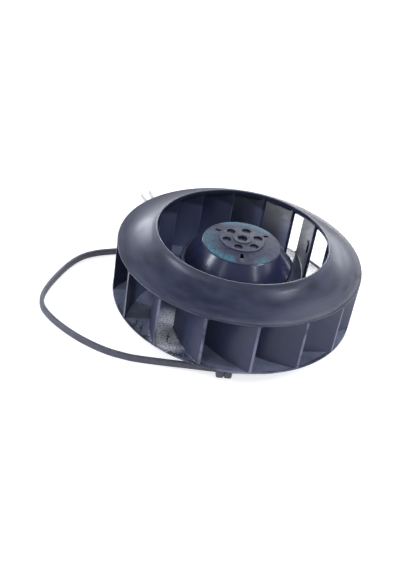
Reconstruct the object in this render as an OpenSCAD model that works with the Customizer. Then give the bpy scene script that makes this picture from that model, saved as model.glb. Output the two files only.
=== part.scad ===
// Backward-curved centrifugal fan wheel on an external-rotor motor, standing on its motor flange.
// The origin is on the shaft axis at the flange's mounting face, with +Z towards the air inlet.

/* [Wheel] */
// Outer diameter of the wheel
wheel_d = 220; // [200:1:240]
// Clear diameter inside the inlet lip
inlet_d = 152; // [142:1:160]
// Height of the backplate's underside above the mounting face
plate_z = 14; // [13:0.5:20]
// Thickness of the backplate
plate_t = 2; // [1.5:0.1:3]
// Clear width between backplate and shroud at the rim
outlet_w = 47.8; // [40:0.2:56]
// Wall of the inlet shroud
shroud_t = 1.8; // [1.4:0.1:2.4]
// Height of the inlet lip above the top of the shroud's rim
lip_rise = 17; // [14:0.5:22]
// Radius of the shroud's throat, seen in section
throat_r = 11; // [7:0.5:12]
// Slope of the shroud at its rim, in degrees
rim_slope = 2; // [0:1:6]
// Slope of the shroud at its lip, in degrees
lip_slope = 80; // [70:1:86]

/* [Blades] */
// Number of blades
blade_count = 16; // [10:1:20]
// Diameter of the circle through the leading edges
leading_d = 156; // [154:1:164]
// Angle that a blade runs through from leading to trailing edge
blade_sweep = 25.6; // [15:0.1:34]
// Plan angle of the first trailing edge
blade_phase = 11.8; // [0:0.1:22]
// Bow of a blade's camber line
blade_bow = 3; // [1:0.2:5]
// Thickness at the leading edge
leading_t = 3; // [2:0.1:3.6]
// Thickness at the trailing edge
trailing_t = 1.4; // [1:0.1:2]
// Gap left at the weld between a blade and the shroud or plate
weld_gap = 0.05; // [0.02:0.01:0.1]

/* [Rotor] */
// Outer diameter of the rotor cup
cup_d = 96; // [90:0.5:98]
// Sheet thickness of the rotor cup
cup_t = 1.6; // [1.2:0.1:2]
// Height of the cup's straight wall
cup_wall_h = 34; // [30:0.5:40]
// Height of the conical flank above the wall
flank_h = 18.7; // [16:0.1:21]
// Radius of the bend between wall and flank, seen in section
knee_r = 8; // [5:0.5:10]
// Radius of the bend between flank and crown, seen in section
brow_r = 3; // [2:0.5:5]
// Diameter of the crease where the crown meets the flank
crown_d = 70; // [66:0.5:74]
// Diameter of the raised plateau
plateau_d = 40.4; // [38:0.2:44]
// Rise of the crown from its crease to the plateau's foot
crown_rise = 2.9; // [1.5:0.1:5]
// Step of the plateau above the crown
plateau_step = 1; // [0.6:0.1:2]
// Diameter of the boss round the centre hole
boss_d = 17; // [14:0.5:19]
// Step of the boss above the plateau
boss_step = 0.8; // [0.4:0.1:1.4]
// Diameter of the centre hole
centre_hole_d = 8.8; // [8.2:0.1:10]
// Number of round holes in the plateau
crown_holes = 6; // [4:1:8]
// Diameter of the round holes
crown_hole_d = 8; // [5:0.1:8.4]
// Diameter of the circle of round holes
crown_hole_pcd = 29; // [27:0.2:31]
// Radial length of the three slots outside the plateau
slot_l = 5; // [3:0.1:6]
// Width of the three slots
slot_w = 2.8; // [1:0.1:3.2]
// Diameter of the circle of slots
slot_pcd = 50; // [48:0.2:54]
// Wall of the hub collar that grips the cup
collar_t = 3.9; // [3:0.1:6]
// Height of the collar above the backplate
collar_h = 36; // [30:0.5:38]
// Depth of the ledge under the cup's edge
ledge_h = 6; // [4:0.5:8]
// Fillet between collar and backplate
collar_fillet = 8; // [4:0.5:10]

/* [Motor] */
// Diameter of the stator core
stator_d = 69.2; // [66:0.2:70]
// Air gap between stator and rotor cores
air_gap = 0.4; // [0.3:0.05:0.6]
// Length of the two cores
core_l = 26; // [20:0.5:30]
// Height of the cores' lower face above the mounting face
core_z = 26; // [25:0.5:29]
// Number of stator slots
stator_slots = 12; // [8:1:16]
// Thickness of an end insulator
insulator_t = 1.2; // [0.8:0.1:2]
// Height of a winding head
winding_h = 8; // [5:0.5:9]
// Height of a cage end ring
cage_h = 3; // [2:0.5:3.5]
// Diameter of the shaft
shaft_d = 8; // [7.6:0.1:8.2]
// Diameter of the bearings' outer rings
bearing_d = 22; // [21:0.1:23]
// Width of a bearing
bearing_w = 7; // [6:0.1:7.4]
// Diameter of the flange
flange_d = 84; // [80:1:86]
// Thickness of the flange
flange_t = 5; // [4:0.5:6]
// Outer diameter of the bearing tube where the stator core sits
tube_d = 28; // [27:0.2:30]
// Diameter of the circle of fixing holes
fixing_pcd = 62; // [58:0.5:66]
// Diameter of a fixing hole
fixing_d = 4.4; // [4.2:0.1:5]
// Number of fixing holes
fixing_count = 4; // [3:1:6]

/* [Cord] */
// Thickness of the flat twin cord
cord_w = 4.2; // [3.6:0.1:5]
// Height of the flat twin cord, which stands on its edge
cord_h = 6.6; // [6:0.1:6.6]
// Diameter of one insulated core
core_wire_d = 2.4; // [2:0.1:2.8]
// Diameter of a pale end sleeve
sleeve_d = 3.2; // [3:0.1:4]
// Length of the strain-relief grommet on the cord
grommet_l = 13.8; // [12:0.2:15]
// Width of the grommet across the cord
grommet_w = 8.4; // [8:0.1:9]
// Height of the grommet, which stands on the mounting face's level
grommet_h = 12.2; // [11.8:0.1:12.8]

/* [Hidden] */
$fn = 96;
tiny = 0.02;

// Wheel levels and radii
wheel_r = wheel_d / 2;
inlet_r = inlet_d / 2;
leading_r = leading_d / 2;
plate_top = plate_z + plate_t;
rim_z = plate_top + outlet_w + shroud_t;
lip_z = rim_z + lip_rise;
lip_outer_r = inlet_r + shroud_t * sin(lip_slope);

// Section of the shroud: a throat arc that runs on into a flatter arc out to the rim
function slope_normal(a) = [sin(a), cos(a)];
throat_c = [lip_outer_r, lip_z] + throat_r * slope_normal(lip_slope);
rim_point = [wheel_r, rim_z];
rim_from_throat = rim_point - throat_c;
skirt_r = (throat_r * throat_r - rim_from_throat * rim_from_throat)
    / (2 * (rim_from_throat * slope_normal(rim_slope) + throat_r));
skirt_c = rim_point + skirt_r * slope_normal(rim_slope);
blend_normal = (skirt_c - throat_c) / (skirt_r - throat_r);
blend_slope = atan2(blend_normal.x, blend_normal.y);
blend_tie = 0.5;

// Plan of a blade: two arcs through its leading and trailing ends
blade_in = leading_r * [cos(-blade_sweep), sin(-blade_sweep)];
blade_out = [wheel_r, 0];
chord = blade_out - blade_in;
chord_l = norm(chord);
chord_u = chord / chord_l;
chord_n = [chord_u.y, -chord_u.x];
chord_slope = atan2(chord_u.y, chord_u.x);
end_turn = 2 * atan(2 * blade_bow / chord_l);
blade_reach = 4;
top_steps = 5;
function arc_radius(l, bow) = (l * l / 4 + bow * bow) / (2 * bow);
function arc_centre(a, b, bow) =
    (a + b) / 2 - (arc_radius(norm(b - a), bow) - bow) * [(b - a).y, -(b - a).x] / norm(b - a);

// Rotor cup levels
cup_r = cup_d / 2;
cup_z = plate_z + ledge_h;
shoulder_z = cup_z + cup_wall_h;
crown_r = crown_d / 2;
plateau_r = plateau_d / 2;
crease_z = shoulder_z + flank_h;
crown_top = crease_z + crown_rise;
plateau_z = crown_top + plateau_step;
bend_steps = 6;

// Angles above the level at which the flank and the crown face, and the bends between their faces
function facing(a) = [cos(a), sin(a)];
function bend_centre(corner, r, a, b) =
    corner - r * (facing(a) + facing(b)) / (1 + facing(a) * facing(b));
function bend(c, r, a, b) =
    [for (k = [0 : bend_steps]) c + r * facing(a + (b - a) * k / bend_steps)];
flank_face = atan2(cup_r - crown_r, flank_h);
crown_face = atan2(crown_r - plateau_r, crown_rise);
knee_c = bend_centre([cup_r, shoulder_z], knee_r, 0, flank_face);
brow_c = bend_centre([crown_r, crease_z], brow_r, flank_face, crown_face);

// Collar round the cup, and the openings in the cup's crown
cup_fit = 0.1;
ledge_lip = 2.5;
collar_r = cup_r + cup_fit + collar_t;
crown_hole_phase = 19;
slot_phase = 33;
slot_count = 3;

// Cores, cage and winding
stator_r = stator_d / 2;
rotor_in_r = stator_r + air_gap;
core_fit = 0.05;
rotor_core_r = cup_r - cup_t - core_fit;
core_top = core_z + core_l;
tube_r = tube_d / 2;
tooth_tip = 2.6;
core_back = 5;
slot_foot_r = tube_r + core_back;
slot_opening = 2.4;
tooth_w = 7;
liner = 0.25;
cage_gap = 1;
cage_rim = 2;
insulator_lap = 1.5;
insulator_play = 0.2;

// Shaft line
shaft_r = shaft_d / 2;
bearing_r = bearing_d / 2;
ring_fit = 0.01;
inner_ring_t = 2.2;
outer_ring_t = 2;
groove_depth = 0.55;
inner_ring_r = shaft_r + inner_ring_t;
outer_ring_r = bearing_r - outer_ring_t;
ball_path_r = (inner_ring_r + outer_ring_r) / 2;
ball_r = (outer_ring_r - inner_ring_r) / 2 + groove_depth;
ball_play = 0.12;
ball_count = 7;
cap_z = 0.6;
cap_t = 1;
cap_play = 0.05;
circlip_t = 0.8;
circlip_grip = 0.5;
circlip_rim = 1.6;
circlip_mouth = 2.4;
shaft_cap_gap = 1;
shaft_foot_h = 3;
shaft_foot_z = cap_z + cap_t + shaft_cap_gap;
lower_bearing_z = shaft_foot_z + shaft_foot_h;
hub_top = plateau_z - cup_t;
hub_h = 11;
hub_flange_t = 2;
hub_flange_play = 0.4;
hub_flange_r = plateau_r - cup_t - hub_flange_play;
hub_nose_h = 1;
hub_nose_rim = 0.4;
hub_z = hub_top - hub_h;
upper_bearing_z = hub_z - hub_nose_h - bearing_w;
washer_t = 0.4;
washer_h = 1.5;
washer_play = 0.15;
bearing_proud = 0.5;
bearing_seat = 1.5;
shaft_recess = 1;
tube_top = upper_bearing_z + bearing_w - bearing_proud;
tube_bore_r = bearing_r - bearing_seat;
shaft_top = hub_top - shaft_recess;
shaft_chamfer = 0.6;
flange_r = flange_d / 2;
foot_wall = 2;
foot_r = tube_r + foot_wall;
foot_flare = 6;

// Balance weight on the inner face of one blade
weight_blade = 2;
weight_share = 0.4;
weight_lift = 21.5;
weight_l = 8;
weight_t = 1.2;
weight_h = 10;
weight_gap = 0.05;

// Cord route: out of the gland, through the grommet, round the wheel's left and back behind it
route = [
    [30, -42, 5], [35, -49, 5], [39.6, -60.5, 4.5], [39.4, -73, 4.2], [34, -84.8, 5.2], [23.9, -93.1, 7],
    [10, -97.3, 7.4], [-6.6, -99.3, 7.4], [-27, -99, 5.9], [-48, -98.7, 4.3], [-69, -98.8, 3.4],
    [-82, -98.4, 3.4], [-101, -94.8, 3.4], [-123, -85.5, 3.4], [-143, -72.5, 3.4], [-157, -60, 3.4],
    [-165.5, -48, 3.4], [-168.5, -34, 3.4], [-167, -17, 3.4], [-162, 4, 3.4], [-155, 24, 3.4],
    [-146, 39, 3.4], [-134, 49, 3.4], [-118, 57, 3.4], [-101, 65, 3.4], [-87, 76, 3.4], [-78, 91, 3.4],
    [-74.5, 108, 3.4], [-76, 124, 3.4], [-82, 138, 3.4], [-88, 148, 3.4]
];
left_core = [[-88, 148, 2.1], [-91, 153, 1.8], [-96.8, 156.4, 1.8], [-101, 163.6, 1.8]];
right_core = [[-88, 148, 4.7], [-91, 153, 4.4], [-92.6, 165.7, 2.2], [-95.5, 172.5, 1.8]];
left_tip = [-110, 179, 1.8];
right_tip = [-103, 190, 1.8];
cord_sides = 12;
wire_sides = 8;
exit = route[0];
gland_angle = atan2(exit.y, exit.x);
gland_tip_r = norm([exit.x, exit.y]);
gland_axis_z = exit.z;
gland_boss_w = 15;
gland_boss_l = 9;
gland_boss_h = 11;
gland_shank = [6.4, 8.4];
gland_collar = [10, 9.6];
gland_collar_t = 3;
gland_fit = 0.1;
gland_run_out = 5;
gland_tail_l = 2;
gland_tip = [cord_w + 1.6, cord_h + 1.2];
gland_tip_l = 1;
gland_shoulder = [1, 0.4];
grommet_right = route[6];
grommet_left = route[7];
grommet_c = (grommet_right + grommet_left) / 2;
grommet_turn = atan2(grommet_right.y - grommet_left.y, grommet_right.x - grommet_left.x);
grommet_groove = [1.6, 1.2];
grommet_play = 0.2;

function two_digits(i) = i < 10 ? str("0", i) : str(i);
function blade_name(i) = str("blade_", two_digits(i + 1));
blade_names = [for (i = [0 : blade_count - 1]) blade_name(i)];

// Shared shapes

// A ring of the given wall between two heights
module ring(r_in, r_out, z0, z1) {
    rotate_extrude()
        translate([r_in, z0]) square([r_out - r_in, z1 - z0]);
}

// Triangle from an arc's centre that takes in the arc between two slopes
module slope_wedge(c, r, a, b) {
    polygon([c, c - 2 * r * slope_normal(a), c - 2 * r * slope_normal(b)]);
}

// Section of a curved wall between two slopes, concave side up
module arc_wall(c, r, t, a, b) {
    intersection() {
        difference() {
            translate(c) circle(r + t);
            translate(c) circle(r);
        }
        slope_wedge(c, r + t, a, b);
    }
}

// Points just under a curved wall, on straight lines that touch its lower side
function under_arc(c, r, a, b) =
    let(step = (b - a) / top_steps, reach = (r + shroud_t + weld_gap) / cos(step / 2))
    [for (k = [0.5 : top_steps]) c - reach * slope_normal(a + k * step)];

// Section of the air passage that a blade fills, from its leading edge out to the rim
module passage_section() {
    intersection() {
        translate([0, plate_z]) square([wheel_r, lip_z]);
        polygon(concat(
            [[inlet_r - blade_reach, plate_z], [wheel_r + blade_reach, plate_z]],
            [[wheel_r + blade_reach, rim_z - shroud_t - weld_gap]],
            under_arc(skirt_c, skirt_r, rim_slope, blend_slope),
            under_arc(throat_c, throat_r, blend_slope, lip_slope)
        ));
    }
}

// Wheel

module impeller_backplate() {
    color("#3d404d")
    rotate_extrude()
    difference() {
        union() {
            translate([cup_r + cup_fit - ledge_lip, plate_z])
                square([wheel_r - cup_r - cup_fit + ledge_lip, plate_t]);
            translate([cup_r + cup_fit - ledge_lip, plate_z])
                square([collar_t + ledge_lip, plate_t + collar_h]);
            translate([collar_r - tiny, plate_top - tiny])
                square(collar_fillet);
        }
        translate([collar_r + collar_fillet, plate_top + collar_fillet]) circle(collar_fillet);
        translate([0, cup_z]) square([cup_r + cup_fit, collar_h + plate_t]);
    }
}

// The two arcs meet edge to edge, and a short tie inside the wall holds them together
module inlet_shroud() {
    color("#4a4d5c")
    rotate_extrude() {
        arc_wall(skirt_c, skirt_r, shroud_t, rim_slope, blend_slope);
        arc_wall(throat_c, throat_r, shroud_t, blend_slope, lip_slope);
        translate(throat_c - (throat_r + shroud_t / 2) * blend_normal)
            rotate(-blend_slope)
            square([2 * blend_tie, shroud_t / 3], center = true);
    }
}

// Plan of one blade: square at its leading edge, a little too long at its trailing edge
module blade_plan() {
    outer = [blade_in + leading_t / 2 * chord_n, blade_out + trailing_t / 2 * chord_n];
    inner = [blade_in - leading_t / 2 * chord_n, blade_out - trailing_t / 2 * chord_n];
    intersection() {
        difference() {
            translate(arc_centre(outer[0], outer[1], blade_bow))
                circle(arc_radius(norm(outer[1] - outer[0]), blade_bow), $fn = 360);
            translate(arc_centre(inner[0], inner[1], blade_bow))
                circle(arc_radius(norm(inner[1] - inner[0]), blade_bow), $fn = 360);
        }
        translate(blade_in)
            rotate(chord_slope - end_turn)
            translate([0, -chord_l / 2])
            square([chord_l + blade_reach, chord_l]);
    }
}

module blade(i) {
    color("#464957")
    rotate(blade_phase + i * 360 / blade_count)
    intersection() {
        translate([0, 0, plate_top + weld_gap])
            linear_extrude(lip_z - plate_top) blade_plan();
        rotate_extrude() passage_section();
    }
}

// Flat steel balance weight stuck to the hollow inner face of one blade
module balance_weight() {
    ends = [blade_in - leading_t / 2 * chord_n, blade_out - trailing_t / 2 * chord_n];
    face_r = arc_radius(norm(ends[1] - ends[0]), blade_bow) - weight_gap;
    face_c = arc_centre(ends[0], ends[1], blade_bow);
    first = ends[0] - face_c;
    last = ends[1] - face_c;
    first_turn = atan2(first.y, first.x);
    turn = first_turn + weight_share * (atan2(last.y, last.x) - first_turn);
    color("#5a5c62")
    rotate(blade_phase + weight_blade * 360 / blade_count)
    translate([face_c.x, face_c.y, plate_top + weight_lift])
    rotate(turn)
    translate([sqrt(face_r * face_r - weight_l * weight_l / 4) - weight_t, -weight_l / 2, 0])
        cube([weight_t, weight_l, weight_h]);
}

// Rotor

// Half section of the cup's outside, drawn in by an inset
module cup_section(inset) {
    foot = cup_z - (inset > 0 ? 1 : 0);
    crown_inset = inset / sin(crown_face) - inset / tan(crown_face);
    polygon(concat(
        [[0, foot], [cup_r - inset, foot]],
        bend(knee_c, knee_r - inset, 0, flank_face),
        bend(brow_c, brow_r - inset, flank_face, crown_face),
        [[plateau_r - inset, crown_top - crown_inset], [plateau_r - inset, plateau_z - inset],
         [0, plateau_z - inset]]
    ));
}

module rotor_cup() {
    color("#2a2b33")
    difference() {
        union() {
            rotate_extrude()
            difference() {
                cup_section(0);
                cup_section(cup_t);
            }
            translate([0, 0, plateau_z - tiny]) cylinder(d = boss_d, h = boss_step + tiny);
        }
        translate([0, 0, shoulder_z]) cylinder(d = centre_hole_d, h = flank_h * 2);
        for (i = [0 : crown_holes - 1])
            rotate(crown_hole_phase + i * 360 / crown_holes)
            translate([crown_hole_pcd / 2, 0, shoulder_z])
                cylinder(d = crown_hole_d, h = flank_h * 2);
        for (i = [0 : slot_count - 1])
            rotate(slot_phase + i * 360 / slot_count)
            translate([slot_pcd / 2 - slot_l / 2, -slot_w / 2, shoulder_z])
                cube([slot_l, slot_w, flank_h * 2]);
    }
}

module rotor_core() {
    color("#7b7d82") ring(rotor_in_r, rotor_core_r, core_z, core_top);
}

module upper_cage_ring() {
    color("#b9bcc2") ring(rotor_in_r + cage_gap, rotor_core_r - cage_rim, core_top, core_top + cage_h);
}

module lower_cage_ring() {
    color("#b9bcc2") ring(rotor_in_r + cage_gap, rotor_core_r - cage_rim, core_z - cage_h, core_z);
}

// Bush that joins the cup to the shaft: its flange closes the crown's holes from below,
// and its nose rests on the upper bearing's inner ring
module rotor_hub() {
    color("#a6a8ad")
    rotate_extrude()
    difference() {
        union() {
            translate([0, hub_z]) square([boss_d / 2, hub_h]);
            translate([0, hub_top - hub_flange_t]) square([hub_flange_r, hub_flange_t]);
            translate([0, hub_z - hub_nose_h]) square([inner_ring_r - hub_nose_rim, hub_nose_h]);
        }
        translate([0, hub_z - hub_nose_h - 1]) square([shaft_r + ring_fit, hub_h + hub_nose_h + 2]);
    }
}

module rotor_shaft() {
    color("#c9ccd1")
    rotate_extrude()
    difference() {
        polygon([
            [0, shaft_foot_z], [shaft_r - shaft_chamfer, shaft_foot_z],
            [shaft_r, shaft_foot_z + shaft_chamfer], [shaft_r, shaft_top - shaft_chamfer],
            [shaft_r - shaft_chamfer, shaft_top], [0, shaft_top]
        ]);
        translate([shaft_r - circlip_grip, lower_bearing_z - circlip_t])
            square([circlip_grip + 1, circlip_t]);
    }
}

// Open ring in the shaft's groove, under the lower bearing
module shaft_circlip() {
    color("#3a3b40")
    translate([0, 0, lower_bearing_z - circlip_t + ring_fit])
    linear_extrude(circlip_t - 2 * ring_fit)
    difference() {
        circle(shaft_r + circlip_rim);
        circle(shaft_r - circlip_grip + ring_fit);
        translate([0, -circlip_mouth / 2]) square([shaft_r + circlip_rim + 1, circlip_mouth]);
    }
}

// Bearings

module bearing_ring(r_in, r_out, z) {
    color("#c4c7cc")
    rotate_extrude()
    difference() {
        translate([r_in, z]) square([r_out - r_in, bearing_w]);
        translate([ball_path_r, z + bearing_w / 2]) circle(ball_r + ball_play);
    }
}

module bearing_balls(z) {
    color("#d9dce0")
    for (i = [0 : ball_count - 1])
        rotate(i * 360 / ball_count)
        translate([ball_path_r, 0, z + bearing_w / 2]) sphere(ball_r);
}

module upper_bearing_inner_ring() {
    bearing_ring(shaft_r + ring_fit, inner_ring_r, upper_bearing_z);
}

module lower_bearing_inner_ring() {
    bearing_ring(shaft_r + ring_fit, inner_ring_r, lower_bearing_z);
}

module upper_bearing_outer_ring() {
    bearing_ring(outer_ring_r, bearing_r - ring_fit, upper_bearing_z);
}

module lower_bearing_outer_ring() {
    bearing_ring(outer_ring_r, bearing_r - ring_fit, lower_bearing_z);
}

module upper_bearing_balls() {
    bearing_balls(upper_bearing_z);
}

module lower_bearing_balls() {
    bearing_balls(lower_bearing_z);
}

// Conical spring washer that loads the upper bearing's outer ring
module preload_washer() {
    foot = upper_bearing_z - washer_h;
    color("#9a9ca1")
    rotate_extrude()
    polygon([
        [tube_bore_r, foot], [bearing_r - washer_play, upper_bearing_z - washer_t],
        [bearing_r - washer_play, upper_bearing_z], [tube_bore_r, foot + washer_t]
    ]);
}

// Stator

module gland_place() {
    rotate(gland_angle) translate([0, 0, gland_axis_z]) children();
}

module stator_flange() {
    color("#a9acb1")
    difference() {
        union() {
            rotate_extrude()
            difference() {
                union() {
                    square([flange_r, flange_t]);
                    square([foot_r, core_z]);
                    square([tube_r - core_fit, tube_top]);
                    polygon([
                        [foot_r - tiny, 0], [foot_r + foot_flare, 0], [foot_r + foot_flare, flange_t],
                        [foot_r - tiny, flange_t + foot_flare]
                    ]);
                }
                translate([0, -1]) square([tube_bore_r, tube_top + 2]);
                translate([0, -1]) square([bearing_r, lower_bearing_z + bearing_w + 1]);
                translate([0, upper_bearing_z - washer_h]) square([bearing_r, tube_top]);
            }
            rotate(gland_angle)
            translate([flange_r - gland_boss_l, -gland_boss_w / 2, 0])
                cube([gland_boss_l, gland_boss_w, gland_boss_h]);
        }
        gland_place()
            gland_block(flange_r - gland_boss_l - gland_run_out, gland_shank + 2 * [gland_fit, gland_fit],
                gland_boss_l + 2 * gland_run_out);
        for (i = [0 : fixing_count - 1])
            rotate(i * 360 / fixing_count)
            translate([fixing_pcd / 2, 0, -1]) cylinder(d = fixing_d, h = flange_t + 2);
    }
}

// Plan of one winding slot, drawn in by the slot liner where the winding fills it
module slot_plan(inset) {
    foot_w = 2 * PI * slot_foot_r / stator_slots - tooth_w;
    top_r = stator_r - tooth_tip;
    top_w = 2 * PI * top_r / stator_slots - tooth_w;
    polygon([
        [slot_foot_r + inset, foot_w / 2 - inset], [top_r - inset, top_w / 2 - inset],
        [top_r - inset, -top_w / 2 + inset], [slot_foot_r + inset, -foot_w / 2 + inset]
    ]);
}

module slots_plan(inset) {
    for (i = [0 : stator_slots - 1])
        rotate(i * 360 / stator_slots) slot_plan(inset);
}

module stator_core() {
    color("#6f7176")
    translate([0, 0, core_z])
    linear_extrude(core_l)
    difference() {
        circle(stator_r);
        circle(tube_r);
        slots_plan(0);
        for (i = [0 : stator_slots - 1])
            rotate(i * 360 / stator_slots)
            translate([stator_r - tooth_tip - 1, -slot_opening / 2]) square([tooth_tip + 2, slot_opening]);
    }
}

module insulator(z) {
    color("#d8d2bf")
    translate([0, 0, z])
    linear_extrude(insulator_t)
    difference() {
        circle(stator_r - tooth_tip + insulator_lap);
        circle((z < core_z ? foot_r : tube_r) + insulator_play);
        slots_plan(0);
    }
}

module upper_insulator() {
    insulator(core_top);
}

module lower_insulator() {
    insulator(core_z - insulator_t);
}

// Both winding heads and the copper through every slot
module stator_winding() {
    head_in = slot_foot_r + liner;
    head_out = stator_r - tooth_tip - liner;
    lower = core_z - insulator_t;
    upper = core_top + insulator_t;
    color("#b06a3a") {
        ring(head_in, head_out, lower - winding_h, lower);
        ring(head_in, head_out, upper, upper + winding_h);
        translate([0, 0, lower - tiny])
            linear_extrude(upper - lower + 2 * tiny) slots_plan(liner);
    }
}

module bearing_cap() {
    color("#8d9096")
    translate([0, 0, cap_z]) cylinder(r = bearing_r - cap_play, h = cap_t);
}

// Cord

module gland_block(x, size, l) {
    translate([x, -size.x / 2, -size.y / 2]) cube([l, size.x, size.y]);
}

// Rubber gland: a shank in the flange's boss, a collar outside it and a taper down to the cord
module cable_gland() {
    shank_x = flange_r - gland_boss_l - gland_tail_l;
    collar_x = flange_r + gland_fit;
    taper_x = collar_x + gland_collar_t;
    color("#1e1f24")
    gland_place() {
        gland_block(shank_x, gland_shank, collar_x - shank_x + tiny);
        gland_block(collar_x, gland_collar, gland_collar_t);
        hull() {
            gland_block(taper_x - tiny, gland_collar - gland_shoulder, tiny);
            gland_block(gland_tip_r - gland_tip_l, gland_tip, gland_tip_l);
        }
    }
}

// Direction of a route at one of its points
function heading(points, i) =
    i == 0 ? points[1] - points[0]
    : i == len(points) - 1 ? points[i] - points[i - 1]
    : points[i + 1] - points[i - 1];

// One ring of an upright oval tube: its flat sides stand on edge along the route
function tube_ring(points, i, w, h, sides) =
    let(d = heading(points, i), side = [d.y, -d.x, 0] / norm([d.x, d.y]))
    [for (k = [0 : sides - 1])
        let(a = (k + 0.5) * 360 / sides)
        points[i] + side * cos(a) * w / 2 / cos(180 / sides) + [0, 0, sin(a) * h / 2 / cos(180 / sides)]];

module tube(points, w, h, sides) {
    rings = len(points);
    polyhedron(
        [for (i = [0 : rings - 1]) each tube_ring(points, i, w, h, sides)],
        concat(
            [[for (k = [0 : sides - 1]) k]],
            [for (i = [0 : rings - 2]) for (k = [0 : sides - 1])
                let(n = (k + 1) % sides)
                [i * sides + k, (i + 1) * sides + k, (i + 1) * sides + n, i * sides + n]],
            [[for (k = [sides - 1 : -1 : 0]) (rings - 1) * sides + k]]
        ));
}

module motor_cord() {
    color("#3c3d45") tube(route, cord_w, cord_h, cord_sides);
}

// Strain-relief grommet on the cord: two jaws with a narrow groove between them
module cord_grommet() {
    color("#24252b")
    translate([grommet_c.x, grommet_c.y, 0])
    rotate(grommet_turn)
    difference() {
        translate([-grommet_l / 2, -grommet_w / 2, 0]) cube([grommet_l, grommet_w, grommet_h]);
        for (side = [-1, 1])
            translate([-grommet_groove.x / 2, side * grommet_w / 2 - grommet_groove.y, -1])
                cube([grommet_groove.x, 2 * grommet_groove.y, grommet_h + 2]);
        translate([-grommet_groove.x / 2, -grommet_w / 2 - 1, -grommet_groove.y])
            cube([grommet_groove.x, grommet_w + 2, 2 * grommet_groove.y]);
        translate([-grommet_l, -cord_w / 2 - grommet_play, grommet_c.z - cord_h / 2 - grommet_play])
            cube([2 * grommet_l, cord_w + 2 * grommet_play, cord_h + 2 * grommet_play]);
    }
}

module left_core_tail() {
    color("#2b4a8a") tube(left_core, core_wire_d, core_wire_d, wire_sides);
}

module right_core_tail() {
    color("#6a4632") tube(right_core, core_wire_d, core_wire_d, wire_sides);
}

module left_end_sleeve() {
    color("#dcd8cc") tube([left_core[len(left_core) - 1], left_tip], sleeve_d, sleeve_d, wire_sides);
}

module right_end_sleeve() {
    color("#dcd8cc") tube([right_core[len(right_core) - 1], right_tip], sleeve_d, sleeve_d, wire_sides);
}

impeller_backplate();
inlet_shroud();
rotor_cup();
rotor_core();
upper_cage_ring();
lower_cage_ring();
rotor_hub();
rotor_shaft();
shaft_circlip();
balance_weight();
upper_bearing_inner_ring();
lower_bearing_inner_ring();
stator_flange();
stator_core();
upper_insulator();
lower_insulator();
stator_winding();
upper_bearing_outer_ring();
lower_bearing_outer_ring();
upper_bearing_balls();
lower_bearing_balls();
preload_washer();
bearing_cap();
cable_gland();
motor_cord();
cord_grommet();
left_core_tail();
right_core_tail();
left_end_sleeve();
right_end_sleeve();
for (i = [0 : blade_count - 1])
    blade(i);
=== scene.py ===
"""Looks of a backward-curved centrifugal fan wheel on an external-rotor motor.

Sizes are in millimetres in the part's own frame: +Z runs along the shaft towards the air inlet, and the
origin lies on the shaft at the motor flange's mounting face.
"""
import logging
import math
from collections.abc import Callable, Sequence
from dataclasses import dataclass, field
from enum import Enum
from functools import partial

import bmesh
import bpy
from bpy.types import Material, Node, NodeSocket, NodeTree, Object, World
from mathutils import Matrix, Vector


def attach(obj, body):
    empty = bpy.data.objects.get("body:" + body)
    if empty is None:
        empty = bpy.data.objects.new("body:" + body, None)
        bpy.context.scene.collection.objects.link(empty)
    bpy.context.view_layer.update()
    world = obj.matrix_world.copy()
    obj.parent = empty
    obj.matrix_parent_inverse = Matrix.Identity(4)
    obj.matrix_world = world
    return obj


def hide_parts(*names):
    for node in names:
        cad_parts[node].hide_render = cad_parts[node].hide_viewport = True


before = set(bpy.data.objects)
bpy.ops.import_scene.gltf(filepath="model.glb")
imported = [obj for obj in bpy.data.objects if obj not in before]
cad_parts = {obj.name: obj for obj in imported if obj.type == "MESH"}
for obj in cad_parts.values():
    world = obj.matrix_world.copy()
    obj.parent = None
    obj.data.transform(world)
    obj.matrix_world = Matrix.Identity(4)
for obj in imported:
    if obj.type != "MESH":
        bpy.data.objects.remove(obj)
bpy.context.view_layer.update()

MM = 0.001
TURN = 2 * math.pi
MERGE_DISTANCE = 0.002 * MM
CREASE = 40.0
CORNER = 25.0
LOG = logging.getLogger("fan")

Point = tuple[float, float, float]
Adder = Callable[..., Node]


class Body(Enum):
    """The two bodies that the joint connects."""

    STATOR = "stator"
    ROTOR = "rotor"


class Side(Enum):
    """The two cores that leave the cord's far end."""

    LEFT = "left"
    RIGHT = "right"


class Opening(Enum):
    """The two kinds of opening in the rotor's crown."""

    VENT = "vent"
    SLOT = "slot"


class Element(Enum):
    """The elements that are selected in edit mode, by what a mesh calls them."""

    EDGE = "edges"
    FACE = "faces"


# Edit-mode tools


def deselect_all() -> None:
    """Leaves edit mode and clears the selection, so that the next operator acts on new geometry alone."""
    if bpy.context.mode != "OBJECT":
        bpy.ops.object.mode_set(mode="OBJECT")
    bpy.ops.object.select_all(action="DESELECT")


def select_only(obj: Object) -> None:
    """Makes one object the only selected one and the active one.

    Args:
        obj: The object.
    """
    deselect_all()
    obj.select_set(True)
    bpy.context.view_layer.objects.active = obj


def edit(obj: Object) -> None:
    """Opens one object in edit mode with everything in it selected.

    Args:
        obj: The object.
    """
    select_only(obj)
    bpy.ops.object.mode_set(mode="EDIT")
    bpy.ops.mesh.select_all(action="SELECT")


def scaled(point: Sequence[float]) -> Vector:
    """Turns a point in millimetres into a vector in metres."""
    return Vector(point) * MM


def face_outwards() -> None:
    """Selects the whole mesh in edit mode and turns its faces outwards."""
    bpy.ops.mesh.select_all(action="SELECT")
    bpy.ops.mesh.normals_make_consistent(inside=False)


def merge_doubles() -> None:
    """Selects the whole mesh in edit mode and merges the points that lie on one another."""
    bpy.ops.mesh.select_all(action="SELECT")
    bpy.ops.mesh.remove_doubles(threshold=MERGE_DISTANCE)


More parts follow.
